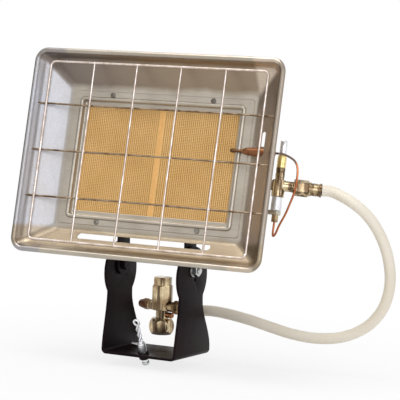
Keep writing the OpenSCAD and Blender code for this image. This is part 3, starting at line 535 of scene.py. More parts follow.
def drilled(piece, radius, low, high):
    """Drills the piece along its z axis."""
    return combined(piece, turned("drill", [(low, radius), (high, radius)], 40), "DIFFERENCE")


def block(name, centre, size):
    nothing_selected()
    bpy.ops.mesh.primitive_cube_add(size=1, location=[c * MM for c in centre])
    piece = named(name)
    piece.scale = [s * MM for s in size]
    return settled(piece)


def bent_wire(name, points, diameter, sides=6):
    """Round wire along points in millimetres, with its ends closed."""
    nothing_selected()
    bpy.ops.curve.primitive_nurbs_path_add()
    wire = named(name)
    wire.data.splines.clear()
    spline = wire.data.splines.new("POLY")
    spline.points.add(len(points) - 1)
    for place, point in zip(spline.points, points):
        place.co = (*(c * MM for c in point), 1)
    wire.data.dimensions = "3D"
    wire.data.bevel_depth = diameter / 2 * MM
    wire.data.bevel_resolution = sides
    wire.data.use_fill_caps = True
    wire.location = (0, 0, 0)
    bpy.ops.object.convert(target="MESH")
    return outward(bpy.context.object)


def helix(radius, low, high, start, sweep, steps):
    """Points in millimetres on a screw line up the z axis, its angles in degrees."""
    points = []
    for i in range(steps + 1):
        a = radians(start + sweep * i / steps)
        z = low + (high - low) * i / steps
        points.append(Vector((radius * cos(a), radius * sin(a), z)))
    return points


def rounded_line(points, step):
    """A smooth line through the points, with a point about every step."""
    line = []
    ends = [2 * points[0] - points[1], *points, 2 * points[-1] - points[-2]]
    for before, start, end, after in zip(ends, ends[1:], ends[2:], ends[3:]):
        count = max(2, round((end - start).length / step))
        for i in range(count):
            t = i / count
            bow = (2 * before - 5 * start + 4 * end - after) * t**2
            swing = (3 * start - before - 3 * end + after) * t**3
            line.append(0.5 * (2 * start + (end - before) * t + bow + swing))
    return [*line, points[-1]]


CORNERS = ((1, 1), (-1, 1), (-1, -1), (1, -1))


def ring_places(width, height, radius, drop, depth, steps):
    """Points round a rectangle with round corners, in millimetres."""
    places = []
    for corner, (su, sw) in enumerate(CORNERS):
        for i in range(steps + 1):
            a = radians(90 * (corner + i / steps))
            u = su * (width / 2 - radius) + radius * cos(a)
            w = sw * (height / 2 - radius) + radius * sin(a) - drop
            places.append(Vector((u, w, depth)) * MM)
    return places


def pressed(name, stations, steps=8, capped=False):
    """Sheet pressed through rings of (width, height, corner radius, drop, depth)."""
    nothing_selected()
    bpy.ops.mesh.primitive_circle_add(vertices=4 * (steps + 1), fill_type="NOTHING")
    sheet = named(name)
    shape = opened(sheet)
    shape.verts.ensure_lookup_table()
    order = {vertex: i for i, vertex in enumerate(shape.verts)}
    for number, station in enumerate(stations):
        if number:
            bpy.ops.mesh.extrude_region_move()
            shape = bmesh.from_edit_mesh(sheet.data)
            shape.verts.ensure_lookup_table()
            order = {v: order_by_index[parent(v).index] for v in shape.verts if v.select}
        places = ring_places(*station, steps)
        for vertex, i in order.items():
            vertex.co = places[i]
        shape.verts.index_update()
        order_by_index = {vertex.index: i for vertex, i in order.items()}
        bmesh.update_edit_mesh(sheet.data)
    if capped:
        bpy.ops.mesh.edge_face_add()
    return faced(sheet)


def parent(vertex):
    """The vertex of the ring before, which this one was extruded from."""
    others = (edge.other_vert(vertex) for edge in vertex.link_edges)
    return next(other for other in others if not other.select)


def between(first, second, share):
    return tuple(a + (b - a) * share for a, b in zip(first, second))


def bend(before, corner, after, near, far):
    """Stations that round the fold at a corner station."""
    start, end = between(corner, before, near), between(corner, after, far)
    return [start, between(between(start, corner, 0.6), between(end, corner, 0.6), 0.5), end]


def copied(name, node):
    """A copy of a CAD node, its loose triangles merged and its flat faces made whole."""
    nothing_selected()
    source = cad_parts[node]
    piece = bpy.data.objects.new(name, source.data.copy())
    bpy.context.scene.collection.objects.link(piece)
    piece.data.materials.clear()
    only(piece)
    if piece.data.has_custom_normals:
        bpy.ops.mesh.customdata_custom_splitnormals_clear()
    opened(piece)
    bpy.ops.mesh.remove_doubles(threshold=2 * MERGE_REACH)
    bpy.ops.mesh.dissolve_limited(angle_limit=radians(FLAT_ANGLE))
    bpy.ops.object.mode_set(mode="OBJECT")
    return piece


def fitted(piece, frame, body, slot, node=None):
    """The piece settles in its frame, gets its finish and rides on its body. It stands for
    the node, or else for the one that is named as it is without its last word."""
    settled(piece, frame)
    piece.data.materials.clear()
    piece.data.materials.append(FINISHES[slot])
    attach(piece, body)
    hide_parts(node or piece.name.rpartition("_")[0])
    return piece


def dressed(piece, finish):
    """Changes the finish alone, and leaves what the piece is made of."""
    piece.data.materials[0] = FINISHES[finish]


# The camera, the lamps and the floor


def aim_camera():
    azimuth, elevation, roll = (radians(a) for a in CAMERA_ANGLES)
    flat = cos(elevation)
    back = Vector((sin(azimuth) * flat, -cos(azimuth) * flat, sin(elevation)))
    level = Vector((cos(azimuth), sin(azimuth), 0))
    upright = back.cross(level)
    right = level * cos(roll) + upright * sin(roll)
    up = upright * cos(roll) - level * sin(roll)
    eye = right * CAMERA_RIGHT + up * CAMERA_UP + back * CAMERA_DISTANCE
    nothing_selected()
    bpy.ops.object.camera_add()
    camera = bpy.context.object
    camera.name = "camera"
    camera.matrix_world = Matrix.Translation(eye) @ Matrix((right, up, back)).transposed().to_4x4()
    camera.data.lens = CAMERA_LENS
    camera.data.clip_start, camera.data.clip_end = 0.05, 30.0
    bpy.context.scene.camera = camera


def add_lamp(name, place, size, power, colour):
    nothing_selected()
    bpy.ops.object.light_add(type="AREA", location=place)
    lamp = bpy.context.object
    lamp.name = name
    lamp.rotation_mode = "QUATERNION"
    lamp.rotation_quaternion = (Vector(LAMP_AIM) - Vector(place)).to_track_quat("-Z", "Y")
    lamp.data.shape = "RECTANGLE"
    lamp.data.size, lamp.data.size_y = size
    lamp.data.energy = power
    lamp.data.color = paint(colour)[:3]


def light_studio():
    add_lamp("key_lamp", (2.0, -2.9, 1.0), (2.2, 2.0), 32, "#E9F0FF")
    add_lamp("top_lamp", (-0.3, -0.6, 2.4), (1.8, 1.2), 34, "#FFFFFF")
    add_lamp("side_lamp", (2.9, -0.5, 0.7), (0.9, 1.5), 9, "#E6EEFF")
    world = bpy.data.worlds.new("studio")
    bpy.context.scene.world = world
    world.use_nodes = True
    tree = world.node_tree
    background = tree.nodes["Background"]
    background.inputs["Color"].default_value = (1, 1, 1, 1)
    tree.links.new(seen_share(tree, 0.46, 1.0), background.inputs["Strength"])


def hang_card():
    """A black card at the left, which gives bright metal its dark side."""
    nothing_selected()
    bpy.ops.mesh.primitive_plane_add(
        size=1.5, location=(-1.7, -0.35, 0.6), rotation=(radians(90), 0, radians(90))
    )
    card = named("studio_card")
    card.visible_camera = False
    card.data.materials.append(Finish("studio_card", "#202020", 0.0, 0.9).material)


def seen_share(tree, unseen, seen):
    """A number that is seen for camera, glossy and transmitted rays, else unseen."""
    path = tree.nodes.new("ShaderNodeLightPath")
    total = path.outputs["Is Camera Ray"]
    for ray in ("Is Glossy Ray", "Is Transmission Ray"):
        either = tree.nodes.new("ShaderNodeMath")
        either.operation = "MAXIMUM"
        tree.links.new(total, either.inputs[0])
        tree.links.new(path.outputs[ray], either.inputs[1])
        total = either.outputs[0]
    result = tree.nodes.new("ShaderNodeMapRange")
    result.inputs["To Min"].default_value = unseen
    result.inputs["To Max"].default_value = seen
    tree.links.new(total, result.inputs["Value"])
    return result.outputs["Result"]


def lay_floor():
    """A pale floor that holds the shadow and runs out into plain white."""
    nothing_selected()
    bpy.ops.mesh.primitive_circle_add(
        vertices=64, radius=9, fill_type="NGON", location=(0, 0, FLOOR_Z * MM)
    )
    floor = named("studio_floor")
    f = Finish("studio_floor", "#FFFFFF", 0.0, 0.9)
    f.set("Base Color", FLOOR_COLOUR)
    reach = f.add("ShaderNodeVectorMath", operation="LENGTH")
    f.link(f.place, reach.inputs[0])
    distance = reach.outputs["Value"]
    fade = f.spread(distance, 0.8, 1, *FLOOR_FADE, interpolation_type="SMOOTHSTEP")
    glow = f.add("ShaderNodeEmission")
    mix = f.add("ShaderNodeMixShader")
    f.link(f.product(seen_share(f.tree, 0.0, 1.0), fade), mix.inputs[0])
    f.link(f.shader.outputs[0], mix.inputs[1])
    f.link(glow.outputs[0], mix.inputs[2])
    f.link(mix.outputs[0], f.tree.nodes["Material Output"].inputs["Surface"])
    floor.data.materials.append(f.material)


# The hose

HOSE_D = 13.0
HOSE_START = 50.02
CONNECTOR_HOSE_END = 40.02
HOSE_MIDDLE = [
    (38, 68, 48), (64, 64, 47), (94, 62, 43), (122, 63, 37), (151, 66, 31), (182, 70, 29),
    (213, 74, 34), (241, 76, 49), (260, 75, 72), (268, 73, 100), (267, 68, 129),
    (260, 61, 155), (248, 51, 178), (231, 40, 195),
]


def along(frame, distance):
    return frame @ Vector((0, 0, distance * MM))


def lay_hose():
    places = [
        along(INLET, HOSE_START),
        along(INLET, HOSE_START + HOSE_D),
        *(Vector(p) * MM for p in reversed(HOSE_MIDDLE)),
        along(BRANCH, CONNECTOR_HOSE_END + HOSE_D),
        along(BRANCH, CONNECTOR_HOSE_END),
    ]
    line = rounded_line(places, 5 * MM)
    hose = bent_wire("gas_hose_tube", [p / MM for p in line], HOSE_D, sides=10)
    smooth(hose, 60)
    hose.data.materials.append(FINISHES["hose_rubber"])
    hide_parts("gas_hose")
    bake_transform(hose)


# The reflector and its guard

RIM_W, RIM_H, RIM_R, BEAD_R = 336.0, 248.0, 17.0, 3.25
SHEET_T = 1.0
BAND_FOOT = (311.5, 223.5, 7.5, 0, -10.8)
SHELF_EDGE = (252, 174, 8, BURNER_DROP, -29)
SHELF_HOLE = (218, 142, 3, BURNER_DROP, -29)
CROSSBAR_W = (56.7, 0.7, -55.3)
UPRIGHT_U = (-85.9, -26.9, 32.1, 91.1)
LOOP = (146.0, 108.0, 6.0)
LOOP_N, UPRIGHT_N, CROSSBAR_N = -5.5, -5.75, -8.25


def bead_station(degrees):
    out = BEAD_R * cos(radians(degrees))
    rise = BEAD_R * sin(radians(degrees))
    width = RIM_W - 2 * BEAD_R + 2 * out
    height = RIM_H - 2 * BEAD_R + 2 * out
    return (width, height, RIM_R - BEAD_R + out, 0, rise - BEAD_R)


def slot_tool(name, centre, length, height, low, high):
    """A straight cutter with round ends, lying along u."""
    round_end = min(length, height) / 2 - 0.01
    rings = [(length, height, round_end, 0, depth) for depth in (low, high)]
    tool = pressed(name, rings, 6, capped=True)
    opened(tool, "DESELECT")
    bpy.ops.mesh.select_non_manifold()
    bpy.ops.mesh.edge_face_add()
    closed(tool)
    tool.location = [c * MM for c in (*centre, 0)]
    return settled(tool)


def press_reflector():
    bead = [bead_station(a) for a in (-125, -95, -65, -35, -5, 25, 55, 80, 105, 130, 155, 178)]
    stations = [
        *bead,
        *bend(bead[-1], BAND_FOOT, SHELF_EDGE, 0.22, 0.09),
        *bend(BAND_FOOT, SHELF_EDGE, SHELF_HOLE, 0.07, 0.16),
        SHELF_HOLE,
    ]
    pan = pressed("reflector_sheet", stations, 9)
    apply_modifier(pan, "SOLIDIFY", thickness=SHEET_T * MM, offset=front_side(pan))
    outward(pan)
    cuts = [
        slot_tool("air_slot", (1.5, -98.2), 179, 6.8, -38, -12),
        slot_tool("side_slot", (143.5, 30), 6, 20, -34, -12),
    ]
    for w in CROSSBAR_W:
        hole = turned("bar_hole", [(-170, 1.45), (170, 1.45)], 16)
        cuts.append(settled(hole, shift(0, w, CROSSBAR_N) @ turn(90, "Y")))
    probe_hole = turned("probe_hole", [(124, 6), (157, 6)], 32)
    cuts.append(settled(probe_hole, shift(0, PROBE_W, PROBE_N) @ turn(90, "Y")))
    for tool in cuts:
        combined(pan, tool, "DIFFERENCE")
    fitted(smooth(pan, 28), HEAD, "head", "reflector_steel", "reflector_pan")


def front_side(sheet):
    """Solidify's offset that leaves the sheet's front where it is."""
    up = sum(p.normal.z * p.area for p in sheet.data.polygons)
    return -1.0 if up > 0 else 1.0


def bend_guard():
    side_u, side_w, corner = LOOP
    path = [Vector((side_u, 4 - side_w, LOOP_N))]
    for (su, sw), first in zip(CORNERS, (0, 90, 180, 270)):
        middle = Vector((su * (side_u - corner), sw * (side_w - corner), LOOP_N))
        steps = range(5 if su > 0 > sw else 7)
        for a in (radians(first + 90 * i / 6) for i in steps):
            path.append(middle + Vector((cos(a), sin(a), 0)) * corner)
    loop = bent_wire("guard_loop_wire", path, 3.0)
    weld = weld_bead((side_u - 1.2, 3.2 - side_w, LOOP_N), (1.9, 2.4, 1.7))
    loop = smooth(joined("guard_loop_wire", [loop, weld]), 60)
    fitted(loop, HEAD, "head", "guard_wire")
    for i, u in enumerate(UPRIGHT_U):
        name = f"guard_upright_bar_{i + 1}"
        points = [
            Vector((u + 0.25 * sin(3 * t / 9 + 2 * i), t * 106.8 / 9, UPRIGHT_N))
            for t in range(-9, 10)
        ]
        bar = bent_wire(name, points, 2.5)
        welds = [weld_bead((u, w, -7.1), (1.7, 1.7, 0.8)) for w in CROSSBAR_W]
        welds += [weld_bead((u, s * 106.6, -5.6), (1.7, 1.0, 1.5)) for s in (-1, 1)]
        bar = smooth(joined(name, [bar, *welds]), 60)
        fitted(bar, HEAD, "head", "guard_wire", f"guard_upright_{i + 1}")
    for i, w in enumerate(CROSSBAR_W):
        points = [
            Vector((t * 161.2 / 12, w + 0.3 * sin(t / 3 + i), CROSSBAR_N))
            for t in range(-12, 13)
        ]
        bar = smooth(bent_wire(f"guard_crossbar_bar_{i + 1}", points, 2.3), 60)
        fitted(bar, HEAD, "head", "guard_wire", f"guard_crossbar_{i + 1}")
        dressed(bar, "crossbar_wire")


def weld_bead(centre, radii):
    nothing_selected()
    bpy.ops.mesh.primitive_uv_sphere_add(segments=14, ring_count=8, radius=MM)
    bead = named("weld")
    bead.scale = radii
    bead.location = [c * MM for c in centre]
    return settled(bead)


# The burner


def press_burner_frame():
    ridge = []
    for degrees in range(0, 181, 20):
        out = 2.5 * cos(radians(degrees))
        rise = 2.5 * sin(radians(degrees))
        ridge.append((219 + 2 * out, 143 + 2 * out, 4 + out, 0, -28 + rise))
    stations = [
        (243, 162, 4, 0, -29), (243, 162, 4, 0, -28.4), (242.2, 161.2, 3.6, 0, -28),
        (225.4, 149.4, 7.2, 0, -28), *ridge, (213.6, 137.6, 2.2, 0, -29),
        (213.4, 137.4, 2.2, 0, -32.4), (212, 136, 2, 0, -33), (205, 129, 2.2, 0, -33),
        (204, 128, 2, 0, -33.3), (204, 128, 2, 0, -34),
    ]
    frame = pressed("burner_frame_sheet", stations)
    apply_modifier(frame, "SOLIDIFY", thickness=0.9 * MM, offset=front_side(frame))
    smooth(outward(frame), 32)
    fitted(frame, BURNER, "head", "reflector_steel")
    profile = [(-5, 1.5), (-0.1, 1.6), (0, 3.2), (0.6, 3.2), (1.1, 2.9), (1.45, 2.2), (1.6, 1.2)]
    screws = []
    for su, sw in ((-1, -1), (-1, 1), (1, -1), (1, 1)):
        slot = block("screw_slot", (0, 0, 1.5), (7, 0.8, 1.2))
        settled(slot, turn(35 * su + 20 * sw, "Z"))
        screw = combined(turned("screw", profile, 32), slot, "DIFFERENCE")
        screws.append(settled(screw, shift(su * 68, sw * 76.7, -28)))
    screws = smooth(joined("frame_screw_set", screws))
    fitted(screws, BURNER, "head", "zinc_steel", "frame_screws")
    dressed(screws, "frame_zinc")


def backed(piece, depth, place, degrees):
    """Gives an opened face sheet its depth and its back, and puts it in place."""
    bpy.ops.mesh.select_mode(type="VERT")
    bpy.ops.mesh.select_all(action="DESELECT")
    bpy.ops.mesh.select_non_manifold()
    bpy.ops.mesh.extrude_region_move(TRANSFORM_OT_translate={"value": (0, 0, -depth * MM)})
    bpy.ops.mesh.edge_face_add()
    closed(piece)
    piece.location = Vector(place) * MM
    return smooth(settled(piece), degrees)


PLAQUE_W, PLAQUE_H, PLAQUE_T, PLAQUE_N = 102.0, 134.0, 13.0, -34.0
HOLE_COLUMNS, HOLE_ROWS, HOLE_W, HOLE_GAP = 38, 70, 1.9, 0.75
PLAIN_EDGE = 1.2
JOINT_W, JOINT_T, JOINT_CROWN = 6.0, 12.6, 0.45


def grid_sheet(name, columns, rows, width, height):
    nothing_selected()
    bpy.ops.mesh.primitive_grid_add(x_subdivisions=columns, y_subdivisions=rows, size=MM)
    sheet = named(name)
    sheet.scale = (width, height, 1)
    return settled(sheet)


def pierce_plaque(side):
    """A fired plaque whose face is a sheet of small round holes."""
    name = "plaque_left_tile" if side < 0 else "plaque_right_tile"
    columns, rows = 2 * HOLE_COLUMNS + 1, HOLE_ROWS + 2
    plaque = grid_sheet(name, columns, rows, PLAQUE_W, PLAQUE_H)
    shape = opened(plaque, "DESELECT")
    half_field = (HOLE_COLUMNS * HOLE_W + (HOLE_COLUMNS - 1) * HOLE_GAP) / 2
    row_pitch = (PLAQUE_H - 2 * PLAIN_EDGE) / HOLE_ROWS
    for vertex in shape.verts:
        vertex.select = not vertex.is_boundary
        column = round((vertex.co.x / MM / PLAQUE_W + 0.5) * columns) - 1
        row = round((vertex.co.y / MM / PLAQUE_H + 0.5) * rows) - 1
        if 0 <= column < 2 * HOLE_COLUMNS:
            pair, end = divmod(column, 2)
            vertex.co.x = (pair * (HOLE_W + HOLE_GAP) + end * HOLE_W - half_field) * MM
        if 0 <= row <= HOLE_ROWS:
            vertex.co.y = (row - HOLE_ROWS / 2) * row_pitch * MM
    bmesh.update_edit_mesh(plaque.data)
    bpy.ops.mesh.bevel(offset=0.36 * MM, segments=1, affect="VERTICES")
    bpy.ops.mesh.select_all(action="DESELECT")
    bpy.ops.mesh.select_mode(type="FACE")
    shape = bmesh.from_edit_mesh(plaque.data)
    for face in shape.faces:
        across = [v.co.x for v in face.verts]
        wide = max(across) - min(across) > (HOLE_W + HOLE_GAP) / 2 * MM
        middle = face.calc_center_median()
        inside = abs(middle.x) < half_field * MM and abs(middle.y) < (PLAQUE_H / 2 - 1) * MM
        face.select = inside and wide and len(face.verts) == 8
    bmesh.update_edit_mesh(plaque.data)
    bpy.ops.mesh.inset(thickness=0.3 * MM, depth=-0.12 * MM, use_individual=True)
    bpy.ops.mesh.inset(thickness=0.03 * MM, depth=-2.4 * MM, use_individual=True)
    backed(plaque, PLAQUE_T, (side * (JOINT_W + PLAQUE_W) / 2, 0, PLAQUE_N), 30)
    fitted(plaque, BURNER, "head", "ceramic")


def fill_plaque_joint():
    strip = grid_sheet("plaque_joint_cement", 8, 90, JOINT_W, PLAQUE_H)
    shape = opened(strip, "DESELECT")
    for vertex in shape.verts:
        x, y = vertex.co.x / MM, vertex.co.y / MM
        crown = JOINT_CROWN * (1 - (2 * x / JOINT_W) ** 2)
        vertex.co.z = (crown + 0.12 * sin(y * 1.7 + x) * sin(y * 0.61)) * MM
    bmesh.update_edit_mesh(strip.data)
    backed(strip, JOINT_T, (0, 0, PLAQUE_N - 0.1), 40)
    fitted(strip, BURNER, "head", "ceramic_joint")


def press_plenum():
    outer = [
        (237, 161, 6, 0, -30.2), (224, 148, 7, 0, -30.2), (221.4, 145.4, 6.2, 0, -31.4),
        (221, 145, 6, 0, -33), (221, 145, 6, 0, -71.5), (219.8, 143.8, 6, 0, -74.6),
        (216, 140, 5.6, 0, -76.0), (196, 120, 8, 0, -76.2), (194, 118, 8, 0, -76.2),
    ]
    box = pressed("plenum_shell", outer)
    shape = opened(box, "DESELECT")
    for vertex in shape.verts:
        vertex.select = abs(vertex.co.x) < 97.1 * MM and vertex.co.z < -76.1 * MM
    shape.select_flush_mode()
    bmesh.update_edit_mesh(box.data)
    bpy.ops.mesh.edge_face_add()
    bpy.ops.mesh.inset(thickness=2 * MM, depth=0)
    bpy.ops.transform.translate(value=(0, 0, 1.4 * MM))
    closed(box)
    apply_modifier(box, "SOLIDIFY", thickness=1.1 * MM, offset=-front_side(box))
    outward(box)
    hole = turned("tube_hole", [(80, 9), (140, 9)], 40)
    tube_frame = shift(0, VALVE_W + BURNER_DROP, VALVE_N) @ turn(90, "Y")
    combined(box, settled(hole, tube_frame), "DIFFERENCE")
    fitted(smooth(box, 32), BURNER, "head", "reflector_steel", "plenum_box")


def make_mixing_tube():
    profile = [(-55, 8), (-55, 9), (126, 9), (128.5, 9.3), (129.5, 9.3), (129.5, 8)]
    tube = turned("mixing_tube_pipe", profile, hollow=True)
    for across in ((19, 9, 8), (9, 19, 8)):
        combined(tube, block("air_port", (0, 0, 119), across), "DIFFERENCE")
    fitted(smooth(tube), TUBE, "head", "reflector_steel")
    holder = softened(hexagon("injector_holder_plug", 17, 129.5, 134.5), 0.25)
    plug = turned("plug", [(121.5, 7.6), (122, 8), (131, 8)], 40)
    holder = smooth(drilled(combined(holder, plug, "UNION"), 2.5, 120, 136))
    fitted(holder, TUBE, "head", "brass")


# The gas valve


def turn_valve():
    profile = [
        (-17, 2.2), (-16.8, 2.4), (21.8, 2.4), (21.8, 3.9), (22.2, 4.1), (24.0, 4.1), (24.2, 3.8),
        (24.7, 3.8), (24.9, 4.1), (35.6, 4.1), (36.6, 3.75), (37.2, 3.1), (37.4, 2.2),
    ]
    lathe("valve_button_pin", profile, VALVE, "button", "chrome", 56)
    profile = [
        (5, 2.5), (5, 5.0), (5.4, 5.3), (9, 5.3), (9.3, 4.9), (9.9, 4.9), (10.2, 5.3), (16.2, 5.3),
        (18.2, 4.9), (19.4, 4.65), (19.4, 4.4), (8, 4.4), (8, 2.5),
    ]
    collar = sleeve("valve_collar_sleeve", profile, VALVE, "head", "brass")
    dressed(collar, "bright_brass")
    profile = [
        (-9, 2.7), (-9, 5.4), (-7.2, 5.4), (-6.9, 4.9), (-6.2, 4.9), (-5.9, 5.4), (-0.6, 5.4),
        (-0.3, 5.0), (0.3, 5.0), (0.6, 5.4), (4.6, 5.4), (5, 5.1), (5, 2.7),
    ]
    sleeve("valve_bonnet_stem", profile, VALVE, "head", "brass")
    cast_valve_body()
    profile = [
        (-45, 4.7), (-45, 5.6), (-44.4, 6.1), (-43.6, 6.2), (-31.4, 6.2), (-31.2, 5.8),
        (-30.4, 5.8), (-30.2, 6.2), (-29.3, 6.2), (-29, 5.9), (-29, 4.7),
    ]
    can = sleeve("magnet_housing_can", profile, VALVE, "head", "zinc_steel")
    dressed(can, "bright_zinc")
    clip = block("valve_clip_plate", (-3, 0, -47.5), (14.5, 11, 5))
    notch = block("clip_notch", (-11, 0, -47.5), (6, 4.5, 9))
    clip = drilled(combined(clip, notch, "DIFFERENCE"), 3, -52, -43)
    fitted(softened(clip, 0.5, 3), VALVE, "head", "clip_steel")
    nut = drilled(softened(hexagon("lead_nut_body", 7.5, -58.5, -50), 0.15), 1.33, -60, -54)
    fitted(smooth(nut, FACET), VALVE, "head", "brass")


def cast_valve_body():
    """The cast body: stem, inlet and outlet branches run into each other."""
    parts = [
        settled(turned("stem", [(-29, 7.1), (-28.6, 7.5), (-9.4, 7.5), (-9, 7.1)], 64), VALVE),
        settled(turned("inlet", [(0, 6.1), (14.4, 6.1), (14.8, 6.3), (17, 6.3)], 64), INLET),
        settled(turned("outlet", [(134.5, 6.3), (149, 6.3)], 64), TUBE),
    ]
    body = joined("valve_body_casting", parts)
    apply_modifier(body, "REMESH", mode="VOXEL", voxel_size=0.45 * MM)
    apply_modifier(body, "CORRECTIVE_SMOOTH", iterations=6, smooth_type="SIMPLE")
    cavity = turned("cavity", [(-30, 5.6), (-13, 5.6)], 48)
    combined(body, settled(cavity, VALVE), "DIFFERENCE")
    passage = turned("passage", [(-14, 2.7), (-8, 2.7)], 32)
    combined(body, settled(passage, VALVE), "DIFFERENCE")
    fitted(smooth(body, 50), None, "head", "brass")


def turn_inlet():
    nut = drilled(softened(hexagon("inlet_nut_body", 17, 17, 35), 0.3), 4, 16, 36)
    fitted(smooth(nut, FACET), INLET, "head", "brass")
    crimped("inlet_ferrule_sleeve", 35, INLET, "head")


def crimped(name, low, frame, body):
    """A ferrule with a ring at each end and crimps between them."""
    profile = [(0, 4.0), (0, 7.7), (0.4, 8.2), (2.1, 8.2), (2.5, 7.5)]
    for at in (3.6, 6.5, 9.4):
        profile += [(at, 7.6), (at + 0.5, 7.15), (at + 1.3, 7.15), (at + 1.8, 7.6)]
    profile += [(12.5, 7.5), (12.9, 8.2), (14.6, 8.2), (15, 7.7), (15, 4.0)]
    sleeve(name, [(low + z, r) for z, r in profile], frame, body, "brass")


SPRING_R, SPRING_LOW, SPRING_HIGH, SPRING_TURNS = 3.35, 8.5, 21.3, 6


def coil_spring():
    """The coil behind the push button, which the button flattens."""
    points = helix(SPRING_R, SPRING_LOW, SPRING_HIGH, 0, 360 * SPRING_TURNS, 20 * SPRING_TURNS)
    spring = smooth(bent_wire("valve_spring_coil", points, 0.8, 3), 60)
    fitted(spring, VALVE, "head", "zinc_steel")
    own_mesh(spring)


# The thermocouple


def turn_thermocouple():
    profile = [
        (101, 0.5), (101.2, 1.3), (102.2, 2.1), (103.6, 2.45), (107.6, 2.5), (108.2, 2.3),
        (109, 1.8), (117.6, 1.8),
    ]
    lathe("thermocouple_tip_rod", profile, PROBE, "head", "bronze", 40, 35)
    profile = [
        (117.5, 2.0), (117.6, 2.9), (119.5, 3.2), (121, 4.2), (126, 4.6), (126.3, 4.2),
        (127.1, 4.2), (127.4, 4.7), (136, 5.2), (150.4, 5.3), (150.5, 3.5), (158.1, 3.5),
        (158.5, 3.2),
    ]
    lathe("thermocouple_body_rod", profile, PROBE, "head", "copper", 48, 35)
    nut = softened(hexagon("thermocouple_nut_body", 10, 152, 156), 0.2)
    nut = smooth(drilled(nut, 3.5, 151, 157), FACET)
    fitted(nut, PROBE, "head", "brass")


LEAD_MIDDLE = [
    (149.5, -72, -61), (152, -75, -58), (156, -72, -55), (161, -62, -52), (168, -50, -49),
    (173, -38, -47), (177, -26, -46), (179, -14, -45), (179.5, -2, -44), (178.5, 6, -43),
    (175, 12, -41), (170, 15.5, -35), (167, 16.5, -28), (164, 16.5, -23),
]


def bend_lead():
    nut_end = [(VALVE_U, -54.25, VALVE_N), (VALVE_U, -61, VALVE_N)]
    probe_end = [(161, PROBE_W, PROBE_N), (158.4, PROBE_W, PROBE_N)]
    points = [Vector(p) for p in (*nut_end, *LEAD_MIDDLE, *probe_end)]
    lead = smooth(bent_wire("thermocouple_lead_tube", rounded_line(points, 1.5), 2.5), 60)
    fitted(lead, HEAD, "head", "copper")
    dressed(lead, "lead_copper")


# The tilt joint and the bracket

THREAD_PITCH = 1.25


def thread(name, radius, low, high):
    """Ridges of a screw thread along z, with both ends closed."""
    turns = int((high - low) / THREAD_PITCH)
    step = (high - low) / turns
    stations = [(low, radius * 0.86)]
    for i in range(turns):
        at = low + i * step
        stations += [(at + 0.3 * step, radius), (at + 0.5 * step, radius)]
        stations.append((at + step, radius * 0.86))
    return turned(name, stations, 36)


def fasten_pivots():
    bolts, washers, nuts = [], [], []
    for side in PIVOT_SIDES:
        head = hexagon("head", 13, 39.1, 44.1)
        shank = turned("shank", [(44.0, 4), (52.2, 4), (52.2, 3.9), (58.3, 3.9)], 48)
        tail = thread("tail", 4, 58.3, 60.4)
        bolts += [settled(part, side) for part in (head, shank, tail)]
        rim = [(50.3, 4.1), (50.3, 7.8), (50.5, 8), (51.7, 8), (51.9, 7.8), (51.9, 4.1)]
        washers.append(settled(turned("washer", rim, 48, hollow=True), side))
        nut = drilled(softened(hexagon("nut", 13, 51.9, 58.4), 0.2), 4, 51, 60)
        nuts.append(settled(nut, side))
    for kind, parts in (("bolt", bolts), ("washer", washers), ("nut", nuts)):
        pair = smooth(joined(f"pivot_{kind}_pair", parts), FACET)
        fitted(pair, None, "head", "zinc_steel", f"pivot_{kind}s")
    pair = bpy.data.objects["pivot_bolt_pair"]
    pair.data.materials.append(FINISHES["black_paint"])
    for face in pair.data.polygons:
        if abs(face.center.x) < 44.5 * MM:
            face.material_index = 1


def fold_bracket():
    for name, node, body, edge, steps in (
        ("bracket_plate", "u_bracket", "bracket", 0.5, 3),
        ("clamp_boss_ring", "clamp_boss", "bracket", 0.4, 2),
        ("tilt_lug_pair", "tilt_lugs", "head", 0.4, 2),
    ):
        piece = softened(copied(name, node), edge, steps, 40)
        fitted(piece, None, body, "black_paint", node)


def turn_clamp():
    profile = [
        (-8.5, 3.4), (-8.2, 4), (4.3, 4), (4.3, 4.3), (4.8, 4.8), (13, 4.8), (13.2, 4.5),
        (13.8, 4.5), (14, 4.8), (15.8, 4.8), (16.3, 4.3),
    ]
    barrel = turned("clamp_barrel", profile)
    stud = thread("stud", 4, -8.5, -4.2)
    neck = turned("neck", [(-11.5, 2.5), (-11.2, 2.9), (-8.3, 2.9)], 32)
    screw = smooth(joined("clamp_screw_barrel", [barrel, stud, neck]), 30)
    fitted(screw, CLAMP, "screw", "zinc_steel")
    dressed(screw, "bright_zinc")
    profile = [(0, 1.9), (13.6, 2), (14.3, 1.8), (14.8, 1.2), (15, 0.5)]
    cross = CLAMP @ shift(0, 0, 13.8) @ turn(CROSS_BAR_TURN, "Z") @ turn(90, "X")
    lathe("clamp_bar_pin", profile, cross, "screw", "zinc_steel", 32, 40)
    profile = [
        (-13, 3.4), (-12.6, 4.1), (-11.8, 4.5), (-9.4, 4.5), (-8.8, 4.1), (-8.8, 3.0),
        (-11.58, 2.98),
    ]
    lathe("clamp_cap_pad", profile, CLAMP, "clamp_pad", "zinc_steel")
    twist_handle()


STRAND_R, STRAND_LOW, STRAND_HIGH, STRAND_SWEEP, STRAND_STEPS = 1.3, 17.6, 42.5, 540, 48


